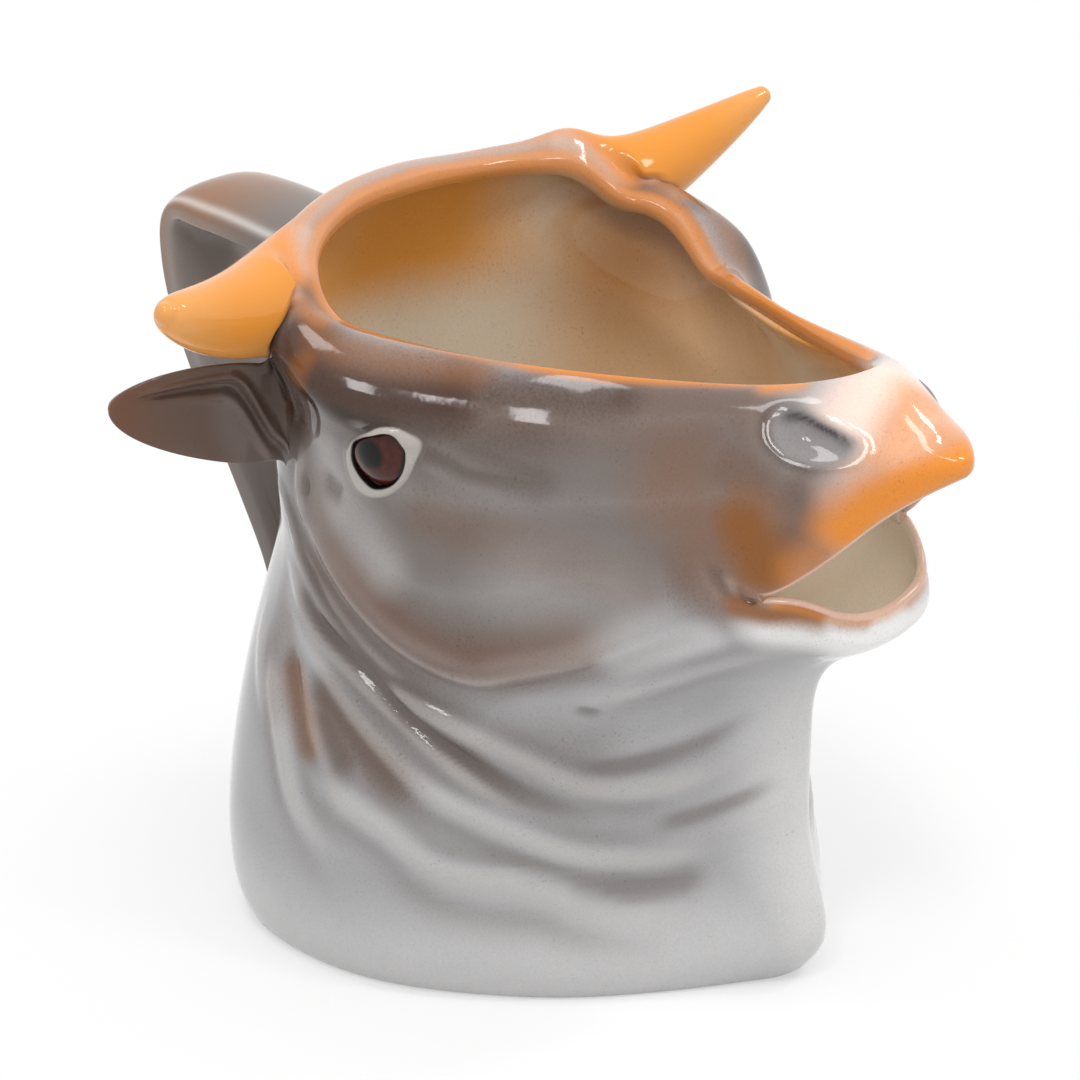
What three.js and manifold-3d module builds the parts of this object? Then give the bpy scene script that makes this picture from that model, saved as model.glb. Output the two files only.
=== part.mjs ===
// Cream jug in the shape of a bull's head on a short neck.
// Millimetres, +Z up, the nose points to -Y and the foot stands on z = 0.
// The neck is the vessel: it is filled through the open top of the head, held by the strap
// handle behind the poll, and poured through the open mouth.
import * as THREE from 'three';
import { mergeVertices } from 'three/addons/utils/BufferGeometryUtils.js';
import Module from 'manifold-3d';

const wasm = await Module();
wasm.setup();

// Driving sizes of the body
const BODY_HEIGHT = 100.8; // foot to the top of the poll, the ridge between the horns
const NECK_WIDTH = 86.4; // widest place of the neck, side to side
const HEAD_LENGTH = 112.7; // nose to the back of the neck
const WALL = 3;
const FLOOR = 3.5;
const FOOT_RECESS = 1.5; // hollow under the foot, inside the ring that it stands on
const FOOT_RING = 4.5; // width of that ring
const NOSTRIL_DEPTH = 1.4;
const NOSTRIL_SIZE = 4.5; // from its middle to where the dent fades out

// Driving sizes of the pieces on the body
const HORN_SPAN = 121.5; // tip to tip
const HORN_ROOT = 14.4; // diameter where the horn meets the head
const HORN_TIP = 3; // diameter just before the rounded end
const HORN_FORWARD = 5.8; // how far the tip lies in front of the root
const HORN_RISE = 6.8; // how far the tip lies above the root
const HORN_ARCH = 1.5; // how far the horn bows below its straight line
const HORN_FULLNESS = 0.62; // below 1 the horn stays thick for longer on its way to the tip
const HORN_UNEVEN = 1.8; // set on by hand: the left tip sits higher and the right tip lower by this
const EAR_LENGTH = 25;
const EAR_WIDTH = 14;
const EAR_THICKNESS = 3.4;
const EAR_CUP = 2.4; // depth of the ear's hollow side
const EAR_BACK_ANGLE = 24; // degrees behind straight sideways
const EAR_UP_ANGLE = 14; // degrees above level
const HANDLE_REACH = 25.6; // back of the neck to the outside of the handle
const HANDLE_DROP = 8.4; // top of the poll down to the outside of the handle's highest stretch
const HANDLE_CLIMB = 3; // from the middle of the strap at its upper root up to its highest stretch
const HANDLE_FOOT = 25; // table to the middle of the handle's lower end
const HANDLE_WIDTH = 16;
const HANDLE_THICKNESS = 4.4;
const HANDLE_BEND = 9; // radius of the handle's upper bend
const HANDLE_UPRIGHT = 14; // the steeper stretches below that bend and above the lower end
const HANDLE_ROOT_WIDTH = 17.9; // where the strap joins the body
const HANDLE_ROOT_THICKNESS = 6.6;
const EYE_DIAMETER = 12.4;
const EYE_STAND_OUT = 1.6; // how far the eyeball stands out of the face

const CLEARANCE = 0.3; // left between two pieces that meet
const BURIED = 5; // how deep a piece is drawn into the body before the body is cut away from it

// The outside of the body is a net of points, drawn in its own units and stretched to the sizes above.
// Each row is half of a closed ring around the body, from the middle of the front to the middle of the
// back, as [side, along, up]; the other half is its mirror image. A place on the body is given as
// (column, row), and both may lie between two points of the net.
const DRAWN_NET = [
  // 0, foot
  [
    [0, -46.5, 0], [7, -43.2, 0], [17.5, -36, 0], [28.5, -25.8, 0], [38, -10.5, 0],
    [41, 4, 0], [37.3, 19.8, 0], [22.5, 32.5, 0], [0, 37, 0],
  ],
  // 1, rounding above the foot
  [
    [0, -51, 7.5], [7, -46, 6.5], [17.3, -37.4, 6], [29, -27, 5.8], [39.7, -11.8, 5.8],
    [43.2, 4, 6], [39, 21.5, 6], [23, 35.7, 6], [0, 41.2, 6],
  ],
  // 2, belly of the neck
  [
    [0, -48.2, 19], [6.5, -43.2, 19], [16, -35, 19], [27.5, -25, 19], [39, -10.5, 19],
    [43.2, 5, 19], [38.4, 22.3, 19], [22.3, 36.8, 19], [0, 42.7, 19],
  ],
  // 3, middle of the neck
  [
    [0, -47.5, 33], [6, -43.5, 33], [14.5, -35.5, 33], [24.5, -26, 32], [35, -13, 32],
    [39.3, 5, 34], [35.2, 21.3, 36], [20.3, 34.7, 38], [0, 41.7, 38],
  ],
  // 4, throat
  [
    [0, -50, 46], [6, -45.5, 46], [12.5, -38, 44.5], [22, -28, 41], [32.5, -14, 41.5],
    [36.8, 4.5, 47], [32, 18.3, 51], [18.7, 31, 55], [0, 37.3, 56],
  ],
  // 5, chin and edge of the jaw
  [
    [0, -60, 53], [9, -58.6, 54.4], [15.1, -49.2, 56], [24.7, -31, 50.5], [34.5, -13.5, 49],
    [36.8, 5, 57], [32, 18.3, 62], [19, 30.5, 66], [0, 36.3, 67],
  ],
  // 6, rim of the lower lip as far as the corner of the mouth
  [
    [0, -60.5, 57.3], [9, -59.5, 59.1], [15.4, -51.8, 62.1], [26.5, -31.5, 60.5], [36, -13, 58.5],
    [37, 5.5, 65], [32, 18.8, 70], [19.2, 30.3, 75], [0, 36, 76],
  ],
  // 7, edge of the upper lip
  [
    [0, -70, 77.5], [8.6, -65.4, 74.6], [15.6, -51.2, 63.2], [27, -31, 67], [36, -11, 67.5],
    [36.5, 6, 73], [31.7, 19, 79], [19, 29.5, 84], [0, 34.5, 86],
  ],
  // 8, nostrils and eyes
  [
    [0, -69.4, 82], [10.6, -63, 80], [17.8, -49.8, 76], [26.3, -29.3, 76], [37, -8, 76],
    [39, 8, 81], [33.2, 20, 86.5], [19, 28.6, 91.5], [0, 32.3, 93.5],
  ],
  // 9, bridge of the nose and brow
  [
    [0, -64.3, 87], [9.6, -57.6, 85.8], [16.3, -46.3, 84], [24.4, -25.5, 82.6], [40.5, -3.5, 84],
    [41, 10.5, 88.7], [33.2, 20.5, 93], [17.8, 27.5, 97], [0, 29.7, 98.3],
  ],
  // 10, outer edge of the rim, with the poll at the back
  [
    [0, -58.5, 90.3], [6.3, -54.6, 89.2], [12.4, -43.8, 87.6], [21.4, -21.8, 86.8], [34.8, -2, 89.4],
    [37.4, 9.2, 92.8], [29.6, 19, 97.6], [15, 24.5, 100.2], [0, 25.6, 100.8],
  ],
  // 11, inner edge of the rim
  [
    [0, -55.7, 89.5], [5.2, -52.4, 88.5], [10.8, -43, 87.3], [20.4, -21, 86.6], [30.6, -1.4, 89.3],
    [32.6, 7.6, 91.8], [26.4, 16.3, 96.2], [14, 21.7, 99], [0, 22.3, 99.8],
  ],
];
const LOWER_LIP_ROW = 6;
const UPPER_LIP_ROW = 7;
const RIM_ROW = DRAWN_NET.length - 1;
const MIDDLE_BACK = DRAWN_NET[0].length - 1; // column at the middle of the back
const MOUTH_CORNER = 2; // column
const COLUMNS_AROUND = 2 * MIDDLE_BACK;

// Places on the body, as column and row
const EYE_PLACE = [4.05, 7.9];
const NOSTRIL_PLACE = [1.42, 8.45];
const HORN_PLACE = [5.5, 9.2];
const EAR_PLACE = [5.75, 6.9];
const HANDLE_TOP_ROW = 8.6;

// How finely the surfaces are divided
const COLUMN_STEPS_FRONT = 4; // facets between two columns, on the head's front half
const COLUMN_STEPS_BACK = 3;
const ROW_STEPS = [3, 2, 2, 2, 3, 3, 2, 3, 3, 3, 2]; // facets between each two rows
const ROUND_STEPS = 16; // facets around a horn, an ear and the handle
const HORN_STEPS = 9;
const HANDLE_STEPS = 30;

const rad = THREE.MathUtils.degToRad;

const drawnSize = new THREE.Box3()
  .setFromPoints(DRAWN_NET.flat().map((point) => new THREE.Vector3(...point)))
  .getSize(new THREE.Vector3());
const stretch = new THREE.Vector3(
  NECK_WIDTH / 2 / drawnSize.x,
  HEAD_LENGTH / drawnSize.y,
  BODY_HEIGHT / drawnSize.z,
);
const outerNet = DRAWN_NET.map((row) => row.map((point) => new THREE.Vector3(...point).multiply(stretch)));

// The closed smooth curve around the body at one row of a net.
function ringCurve(net, row) {
  const half = net[0].map((_, column) => {
    const upward = net.map((points) => points[column]);
    return new THREE.CatmullRomCurve3(upward, false, 'catmullrom', 0.5).getPoint(row / (net.length - 1));
  });
  const otherHalf = half.slice(1, -1).reverse().map((p) => new THREE.Vector3(-p.x, p.y, p.z));
  return new THREE.CatmullRomCurve3([...half, ...otherHalf], true, 'catmullrom', 0.5);
}

function pointOnRing(curve, column) {
  return curve.getPoint(THREE.MathUtils.euclideanModulo(column, COLUMNS_AROUND) / COLUMNS_AROUND);
}

function pointOn(net, column, row) {
  return pointOnRing(ringCurve(net, row), column);
}

// The outward direction square to a net's surface.
function normalOn(net, column, row) {
  const step = 0.05;
  const low = Math.max(row - step, 0);
  const high = Math.min(row + step, net.length - 1);
  const around = pointOn(net, column + step, row).sub(pointOn(net, column - step, row));
  const upward = pointOn(net, column, high).sub(pointOn(net, column, low));
  return around.cross(upward).normalize();
}

// The inside of the body: the same net moved in by the wall, over a floor at the foot.
const innerNet = outerNet.map((points, row) =>
  points.map((point, column) => {
    if (row === 0) return footPoint(point, WALL + FOOT_RING).setZ(FOOT_RECESS + FLOOR);
    return point.clone().addScaledVector(normalOn(outerNet, column, row), -WALL);
  }),
);

// A point of the foot moved towards the middle of the foot.
function footPoint(point, inwards) {
  const middle = new THREE.Vector3(0, (outerNet[0][0].y + outerNet[0][MIDDLE_BACK].y) / 2, 0);
  const arm = point.clone().sub(middle);
  return middle.add(arm.setLength(arm.length() - inwards));
}

// Facets between two rings with the same number of points; a ring of one point is a pole.
function facetsBetween(lower, upper, isOpen = () => false) {
  const count = Math.max(lower.length, upper.length);
  const facets = [];
  for (let k = 0; k < count; k++) {
    if (isOpen(k)) continue;
    const next = (k + 1) % count;
    if (lower.length > 1) facets.push([lower[k], lower[next], upper[next % upper.length]]);
    if (upper.length > 1) facets.push([lower[k % lower.length], upper[next], upper[k]]);
  }
  return facets;
}

function facetsOfStack(rings) {
  return rings.slice(1).flatMap((ring, i) => facetsBetween(rings[i], ring));
}

function middleOf(ring) {
  return [ring.reduce((sum, p) => sum.add(p), new THREE.Vector3()).divideScalar(ring.length)];
}

function geometryOf(facets) {
  const positions = facets.flat().flatMap((p) => p.toArray());
  const loose = new THREE.BufferGeometry();
  loose.setAttribute('position', new THREE.Float32BufferAttribute(positions, 3));
  const geometry = mergeVertices(loose, 1e-3);
  geometry.computeVertexNormals();
  return geometry;
}

// Columns and rows where the body's surface is divided
function bodyColumns() {
  const columns = [];
  for (let column = -MIDDLE_BACK; column < MIDDLE_BACK; column++) {
    const steps = Math.abs(column + 0.5) < MIDDLE_BACK / 2 ? COLUMN_STEPS_FRONT : COLUMN_STEPS_BACK;
    for (let k = 0; k < steps; k++) columns.push(column + k / steps);
  }
  return columns;
}

function bodyRows() {
  const rows = ROW_STEPS.flatMap((steps, row) => Array.from({ length: steps }, (_, k) => row + k / steps));
  return [...rows, RIM_ROW];
}

const columns = bodyColumns();
const rows = bodyRows();
const nostrils = [-1, 1].map((side) => pointOn(outerNet, side * NOSTRIL_PLACE[0], NOSTRIL_PLACE[1]));

// The outside of the body, grown by a margin, with the dents of the nostrils.
function outsideRings(margin) {
  return rows.map((row) => {
    const curve = ringCurve(outerNet, row);
    return columns.map((column) => {
      const point = pointOnRing(curve, column);
      const distance = Math.min(...nostrils.map((nostril) => nostril.distanceTo(point)));
      const dent = (NOSTRIL_DEPTH / 2) * (1 + Math.cos(Math.PI * Math.min(1, distance / NOSTRIL_SIZE)));
      const outward = row === 0 ? new THREE.Vector3() : normalOn(outerNet, column, row);
      return point.addScaledVector(outward, margin - dent);
    });
  });
}

function insideRings() {
  return rows.map((row) => {
    const curve = ringCurve(innerNet, row);
    return columns.map((column) => pointOnRing(curve, column));
  });
}

// A ring halfway between the two edges of the wall, bulged to round the edge off.
function roundedEdge(outer, inner, directions) {
  const bulge = 0.4 * WALL; // a little flatter than half round
  return outer.map((p, k) => p.clone().lerp(inner[k], 0.5).addScaledVector(directions[k], bulge));
}

// Sideways direction of the surface at each point of a ring, seen from the ring next to it.
function directionsFrom(neighbour, ring) {
  return ring.map((p, k) => p.clone().sub(neighbour[k]).normalize());
}

// The mouth's edge, walked once around: over the lower lip, up the corner, back along the upper lip
// and down the other corner.
function mouthLoop(rings) {
  const low = rows.indexOf(LOWER_LIP_ROW);
  const high = rows.indexOf(UPPER_LIP_ROW);
  const start = columns.indexOf(-MOUTH_CORNER);
  const end = columns.indexOf(MOUTH_CORNER);
  const loop = [];
  for (let k = start; k < end; k++) loop.push([low, k, 1]);
  for (let r = low; r < high; r++) loop.push([r, end, 0]);
  for (let k = end; k > start; k--) loop.push([high, k, -1]);
  for (let r = high; r > low; r--) loop.push([r, start, 0]);
  return {
    points: loop.map(([r, k]) => rings[r][k]),
    intoMouth: loop.map(([r, k, up]) => {
      const across = rings[r + 1][k].clone().sub(rings[r - 1][k]).normalize();
      return across.multiplyScalar(up);
    }),
  };
}

function bodyGeometry() {
  const outside = outsideRings(0);
  const inside = insideRings();
  const top = outside.length - 1;

  // The foot ring, and the hollow inside it
  const ringInside = outside[0].map((p) => footPoint(p, FOOT_RING));
  const hollow = ringInside.map((p) => p.clone().setZ(FOOT_RECESS));
  const underside = facetsOfStack([middleOf(hollow), hollow, ringInside, outside[0]]);

  // The walls, left open where the mouth is
  const inMouth = (r) => (k) =>
    rows[r] >= LOWER_LIP_ROW && rows[r] < UPPER_LIP_ROW &&
    columns[k] >= -MOUTH_CORNER && columns[k] < MOUTH_CORNER;
  const outerWall = [];
  const innerWall = [];
  for (let r = 0; r < top; r++) {
    outerWall.push(...facetsBetween(outside[r], outside[r + 1], inMouth(r)));
    innerWall.push(...facetsBetween(inside[r], inside[r + 1], inMouth(r)));
  }
  const turned = innerWall.map(([a, b, c]) => [a, c, b]);
  const floor = facetsBetween(inside[0], middleOf(inside[0]));

  // The rounded edges of the open top and of the mouth
  const rim = roundedEdge(outside[top], inside[top], directionsFrom(outside[top - 1], outside[top]));
  const topEdge = facetsOfStack([outside[top], rim, inside[top]]);
  const outerMouth = mouthLoop(outside);
  const innerMouth = mouthLoop(inside);
  const lips = roundedEdge(outerMouth.points, innerMouth.points, outerMouth.intoMouth);
  const mouthEdge = facetsOfStack([outerMouth.points, lips, innerMouth.points]);

  return geometryOf([...underside, ...outerWall, ...turned, ...floor, ...topEdge, ...mouthEdge]);
}

function toSolid(geometry) {
  const bare = new THREE.BufferGeometry();
  bare.setAttribute('position', geometry.getAttribute('position'));
  bare.setIndex(geometry.getIndex());
  const merged = mergeVertices(bare, 1e-4);
  return new wasm.Manifold(
    new wasm.Mesh({
      numProp: 3,
      vertProperties: merged.getAttribute('position').array,
      triVerts: new Uint32Array(merged.getIndex().array),
    }),
  );
}

function fromSolid(solid) {
  const mesh = solid.getMesh();
  const geometry = new THREE.BufferGeometry();
  geometry.setAttribute('position', new THREE.Float32BufferAttribute(Array.from(mesh.vertProperties), 3));
  geometry.setIndex(Array.from(mesh.triVerts));
  geometry.computeVertexNormals();
  return geometry;
}

// The room that the body takes, its hollow filled: what is left of a piece after this is cut away
// meets the body's outside and never reaches into the jug.
const bodyRoom = (() => {
  const rings = outsideRings(CLEARANCE);
  const foot = rings[0].map((p) => p.clone().setZ(-CLEARANCE));
  return toSolid(geometryOf(facetsOfStack([middleOf(foot), foot, ...rings, middleOf(rings.at(-1))])));
})();

function cutByBody(geometry) {
  return fromSolid(toSolid(geometry).subtract(bodyRoom));
}

function cutByBodyAnd(other, geometry) {
  return fromSolid(toSolid(geometry).subtract(bodyRoom).subtract(toSolid(other)));
}

// Rings of a section carried along a curve. The section gives points as [across, thick] for a share of
// the length; "across" is laid as near to the given direction as the curve allows.
function sweptRings(curve, shares, section, acrossHint) {
  return shares.map((share) => {
    const tangent = curve.getTangent(share);
    const across = acrossHint.clone().addScaledVector(tangent, -acrossHint.dot(tangent)).normalize();
    const thick = tangent.clone().cross(across);
    const middle = curve.getPoint(share);
    const place = (a, b) => middle.clone().addScaledVector(across, a).addScaledVector(thick, b);
    return section(share).map(([a, b]) => place(a, b));
  });
}

function closedSweep(rings) {
  return geometryOf(facetsOfStack([middleOf(rings[0]), ...rings, middleOf(rings.at(-1))]));
}

function evenShares(steps) {
  return Array.from({ length: steps + 1 }, (_, k) => k / steps);
}

// An oval as [across, thick]; a power below 1 makes it boxier.
function ovalSection(halfWidth, halfThickness, power = 1) {
  return Array.from({ length: ROUND_STEPS }, (_, k) => {
    const angle = (2 * Math.PI * k) / ROUND_STEPS;
    const round = (value) => Math.sign(value) * Math.abs(value) ** power;
    return [halfWidth * round(Math.cos(angle)), halfThickness * round(Math.sin(angle))];
  });
}

// The same piece on the animal's other side.
function mirrored(geometry) {
  const copy = geometry.clone().scale(-1, 1, 1);
  const index = copy.getIndex().array;
  for (let i = 0; i < index.length; i += 3) {
    [index[i + 1], index[i + 2]] = [index[i + 2], index[i + 1]];
  }
  copy.computeVertexNormals();
  return copy;
}

// The left horn before the body is cut away from it, grown by a margin.
function leftHornForm(lift, margin = 0) {
  const root = pointOn(outerNet, ...HORN_PLACE);
  const tipRadius = HORN_TIP / 2 + margin;
  const tip = new THREE.Vector3((HORN_SPAN - HORN_TIP) / 2, root.y - HORN_FORWARD, root.z + HORN_RISE + lift);
  const along = tip.clone().sub(root).normalize();
  const buried = root.clone().addScaledVector(along, -BURIED);
  const bow = buried.clone().lerp(tip, 0.5);
  bow.z -= 2 * HORN_ARCH;
  const curve = new THREE.QuadraticBezierCurve3(buried, bow, tip);
  const radiusAt = (share) => tipRadius + ((HORN_ROOT - HORN_TIP) / 2) * (1 - share) ** HORN_FULLNESS;
  const section = (share) => ovalSection(radiusAt(share), radiusAt(share));
  const rings = sweptRings(curve, evenShares(HORN_STEPS), section, new THREE.Vector3(0, 0, 1));
  // The rounded end
  const end = rings.at(-1);
  for (const angle of [30, 60]) {
    const ahead = curve.getTangent(1).multiplyScalar(tipRadius * Math.sin(rad(angle)));
    rings.push(end.map((p) => p.clone().sub(tip).multiplyScalar(Math.cos(rad(angle))).add(tip).add(ahead)));
  }
  return closedSweep(rings);
}

// How wide the ear is at a share of its length: nearly full at the head, full a little before the
// middle, then rounded to the tip.
function leafShape(share) {
  const fullAt = 0.45;
  const atHead = 0.86;
  if (share < fullAt) return atHead + (1 - atHead) * Math.sin((share / fullAt) * (Math.PI / 2));
  const beyond = (share - fullAt) / (1 - fullAt);
  return Math.sqrt(1 - 0.97 * beyond ** 2.4);
}

function leftEarForm() {
  const root = pointOn(outerNet, ...EAR_PLACE);
  const back = rad(EAR_BACK_ANGLE);
  const up = rad(EAR_UP_ANGLE);
  const along = new THREE.Vector3(Math.cos(back) * Math.cos(up), Math.sin(back) * Math.cos(up), Math.sin(up));
  const buried = root.clone().addScaledVector(along, -BURIED);
  const tip = root.clone().addScaledVector(along, EAR_LENGTH);
  const section = (share) => {
    const leaf = leafShape(share);
    const halfThickness = (EAR_THICKNESS / 2) * (1 + leaf) / 2; // half as thick at the tip
    const cup = EAR_CUP * leaf * Math.min(1, 3 * share);
    return ovalSection((EAR_WIDTH / 2) * leaf, halfThickness)
      .map(([across, thick]) => [across, thick + cup * (across / (EAR_WIDTH / 2)) ** 2]);
  };
  const shares = [0, 0.12, 0.24, 0.36, 0.48, 0.6, 0.7, 0.79, 0.87, 0.93, 0.97, 1]; // closer at the tip
  const path = new THREE.LineCurve3(buried, tip);
  return closedSweep(sweptRings(path, shares, section, new THREE.Vector3(0, 0, 1)));
}

// The strap handle: climbing out of the poll, down round the upper bend, slanting in towards the neck
// and steeper again where it joins it.
function handleGeometry() {
  const halfThickness = HANDLE_THICKNESS / 2;
  const neckBack = Math.max(...outerNet.map((row) => row[MIDDLE_BACK].y));
  const outerY = neckBack + HANDLE_REACH - halfThickness;
  const topZ = BODY_HEIGHT - HANDLE_DROP - halfThickness;
  const topRoot = pointOn(outerNet, MIDDLE_BACK, HANDLE_TOP_ROW);
  const foot = pointOn(outerNet, MIDDLE_BACK, rowAtHeight(HANDLE_FOOT));
  const bendEnd = topZ - HANDLE_BEND;
  const slant = (outerY - foot.y) / (bendEnd - foot.z);
  const inwards = 0.7 * slant * HANDLE_UPRIGHT;
  const at = (y, z) => new THREE.Vector3(0, y, z);
  const path = new THREE.CatmullRomCurve3([
    at(topRoot.y - BURIED, topZ - 1.3 * HANDLE_CLIMB),
    at(topRoot.y + HANDLE_THICKNESS, topZ - HANDLE_CLIMB),
    at(outerY - 1.3 * HANDLE_BEND, topZ - 0.2 * HANDLE_CLIMB),
    at(outerY - 0.25 * HANDLE_BEND, topZ - 0.2 * HANDLE_BEND),
    at(outerY, bendEnd),
    at(outerY - inwards, bendEnd - HANDLE_UPRIGHT),
    at(foot.y + inwards, foot.z + HANDLE_UPRIGHT),
    at(foot.y + halfThickness, foot.z + HANDLE_THICKNESS),
    at(foot.y - BURIED, foot.z - halfThickness),
  ]);
  const section = (share) => {
    // 1 at the strap's two ends, 0 an eighth of its length away from them
    const end = 1 - Math.min(1, 8 * Math.min(share, 1 - share));
    const width = HANDLE_WIDTH + (HANDLE_ROOT_WIDTH - HANDLE_WIDTH) * end;
    const thickness = HANDLE_THICKNESS + (HANDLE_ROOT_THICKNESS - HANDLE_THICKNESS) * end;
    return ovalSection(width / 2, thickness / 2, 0.6);
  };
  const rings = sweptRings(path, evenShares(HANDLE_STEPS), section, new THREE.Vector3(1, 0, 0));
  return cutByBody(closedSweep(rings));
}

// The row of the net that lies at a height, on the middle of the back.
function rowAtHeight(height) {
  let low = 0;
  let high = RIM_ROW - 1;
  for (let k = 0; k < 30; k++) {
    const middle = (low + high) / 2;
    if (pointOn(outerNet, MIDDLE_BACK, middle).z < height) low = middle;
    else high = middle;
  }
  return low;
}

function leftEyeGeometry() {
  const radius = EYE_DIAMETER / 2;
  const middle = pointOn(outerNet, ...EYE_PLACE)
    .addScaledVector(normalOn(outerNet, ...EYE_PLACE), EYE_STAND_OUT - radius);
  return cutByBody(new THREE.SphereGeometry(radius, 24, 16).translate(...middle.toArray()));
}

function glazed(color) {
  return new THREE.MeshStandardMaterial({ color, roughness: 0.12, metalness: 0 });
}

function piece(name, geometry, color) {
  const mesh = new THREE.Mesh(geometry, glazed(color));
  mesh.name = name;
  return mesh;
}

// A left ear, also cut clear of the horn above it
function leftEarGeometry(hornLift) {
  return cutByBodyAnd(leftHornForm(hornLift, CLEARANCE), leftEarForm());
}

const eye = leftEyeGeometry();
const jug = new THREE.Group();
jug.add(
  piece('body', bodyGeometry(), 0x9c9593),
  piece('left_horn', cutByBody(leftHornForm(HORN_UNEVEN)), 0xe3a04a),
  piece('right_horn', mirrored(cutByBody(leftHornForm(-HORN_UNEVEN))), 0xe3a04a),
  piece('left_ear', leftEarGeometry(HORN_UNEVEN), 0x6f5f5a),
  piece('right_ear', mirrored(leftEarGeometry(-HORN_UNEVEN)), 0x6f5f5a),
  piece('handle', handleGeometry(), 0x857b79),
  piece('left_eye', eye, 0x2a120c),
  piece('right_eye', mirrored(eye), 0x2a120c),
);

// The middle of the jug's length stands over the origin
const extent = new THREE.Box3().setFromObject(jug);
jug.position.y = -(extent.min.y + extent.max.y) / 2;

const part = new THREE.Group();
part.add(jug);
export default part;
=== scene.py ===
import math

import bpy
import numpy as np
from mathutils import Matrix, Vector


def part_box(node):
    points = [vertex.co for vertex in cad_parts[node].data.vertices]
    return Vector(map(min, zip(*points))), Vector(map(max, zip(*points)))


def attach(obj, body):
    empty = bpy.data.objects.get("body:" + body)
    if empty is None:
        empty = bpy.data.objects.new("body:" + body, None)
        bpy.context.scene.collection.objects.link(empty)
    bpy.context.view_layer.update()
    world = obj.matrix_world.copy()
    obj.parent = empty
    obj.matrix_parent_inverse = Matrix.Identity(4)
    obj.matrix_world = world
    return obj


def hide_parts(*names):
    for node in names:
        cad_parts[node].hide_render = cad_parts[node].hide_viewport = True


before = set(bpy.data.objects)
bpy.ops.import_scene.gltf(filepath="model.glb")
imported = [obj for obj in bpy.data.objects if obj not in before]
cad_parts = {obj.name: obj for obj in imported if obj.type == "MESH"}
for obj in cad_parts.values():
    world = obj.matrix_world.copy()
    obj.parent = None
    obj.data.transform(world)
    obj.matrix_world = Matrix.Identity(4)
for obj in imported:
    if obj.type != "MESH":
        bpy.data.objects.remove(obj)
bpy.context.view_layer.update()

bl_info = {
    "name": "Bull Head Cream Jug",
    "version": (1, 0, 0),
    "blender": (4, 5, 0),
    "location": "View3D > Sidebar > Cream Jug",
    "description": "Models and glazes a cream jug shaped as a bull's head",
    "category": "Add Mesh",
}

# All lengths in the tables and functions are millimetres; a mesh is turned into metres when it is made.
# A place on the hide is (column, row): columns run from the middle of the front, 0, round the animal's
# left side to the middle of the back, 8, and rows from the foot, 0, up to the rim, 11. The right side is
# the mirror image, with columns below 0.
HIDE_NET = [
    # 0, foot
    [(0, -46.5, 0), (7, -43.2, 0), (17.5, -36, 0), (28.5, -25.8, 0), (38, -10.5, 0),
     (41, 4, 0), (37.3, 19.8, 0), (22.5, 32.5, 0), (0, 37, 0)],
    # 1
    [(0, -51, 7.5), (7, -46, 6.5), (17.3, -37.4, 6), (29, -27, 5.8), (39.7, -11.8, 5.8),
     (43.2, 4, 6), (39, 21.5, 6), (23, 35.7, 6), (0, 41.2, 6)],
    # 2
    [(0, -48.2, 19), (6.5, -43.2, 19), (16, -35, 19), (27.5, -25, 19), (39, -10.5, 19),
     (43.2, 5, 19), (38.4, 22.3, 19), (22.3, 36.8, 19), (0, 42.7, 19)],
    # 3
    [(0, -47.5, 33), (6, -43.5, 33), (14.5, -35.5, 33), (24.5, -26, 32), (35, -13, 32),
     (39.3, 5, 34), (35.2, 21.3, 36), (20.3, 34.7, 38), (0, 41.7, 38)],
    # 4, throat
    [(0, -50, 46), (6, -45.5, 46), (12.5, -38, 44.5), (22, -28, 41), (32.5, -14, 41.5),
     (36.8, 4.5, 47), (32, 18.3, 51), (18.7, 31, 55), (0, 37.3, 56)],
    # 5, jaw
    [(0, -60, 53), (9, -58.6, 54.4), (15.1, -49.2, 56), (24.7, -31, 50.5), (34.5, -13.5, 49),
     (36.8, 5, 57), (32, 18.3, 62), (19, 30.5, 66), (0, 36.3, 67)],
    # 6, lower lip
    [(0, -60.5, 57.3), (9, -59.5, 59.1), (15.4, -51.8, 62.1), (26.5, -31.5, 60.5), (36, -13, 58.5),
     (37, 5.5, 65), (32, 18.8, 70), (19.2, 30.3, 75), (0, 36, 76)],
    # 7, upper lip
    [(0, -70, 77.5), (8.6, -65.4, 74.6), (15.6, -51.2, 63.2), (27, -31, 67), (36, -11, 67.5),
     (36.5, 6, 73), (31.7, 19, 79), (19, 29.5, 84), (0, 34.5, 86)],
    # 8, nose and eyes
    [(0, -69.4, 82), (10.6, -63, 80), (17.8, -49.8, 76), (26.3, -29.3, 76), (37, -8, 76),
     (39, 8, 81), (33.2, 20, 86.5), (19, 28.6, 91.5), (0, 32.3, 93.5)],
    # 9, brow
    [(0, -64.3, 87), (9.6, -57.6, 85.8), (16.3, -46.3, 84), (24.4, -25.5, 82.6), (40.5, -3.5, 84),
     (41, 10.5, 88.7), (33.2, 20.5, 93), (17.8, 27.5, 97), (0, 29.7, 98.3)],
    # 10, just outside the rim
    [(0, -58.5, 90.3), (6.3, -54.6, 89.2), (12.4, -43.8, 87.6), (21.4, -21.8, 86.8), (34.8, -2, 89.4),
     (37.4, 9.2, 92.8), (29.6, 19, 97.6), (15, 24.5, 100.2), (0, 25.6, 100.8)],
    # 11, rim
    [(0, -55.7, 89.5), (5.2, -52.4, 88.5), (10.8, -43, 87.3), (20.4, -21, 86.6), (30.6, -1.4, 89.3),
     (32.6, 7.6, 91.8), (26.4, 16.3, 96.2), (14, 21.7, 99), (0, 22.3, 99.8)],
]
RIM_ROW = 11
BACK_COLUMN = 8
LOWER_LIP_ROW = 6
UPPER_LIP_ROW = 7
MOUTH_CORNER = 2

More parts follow.
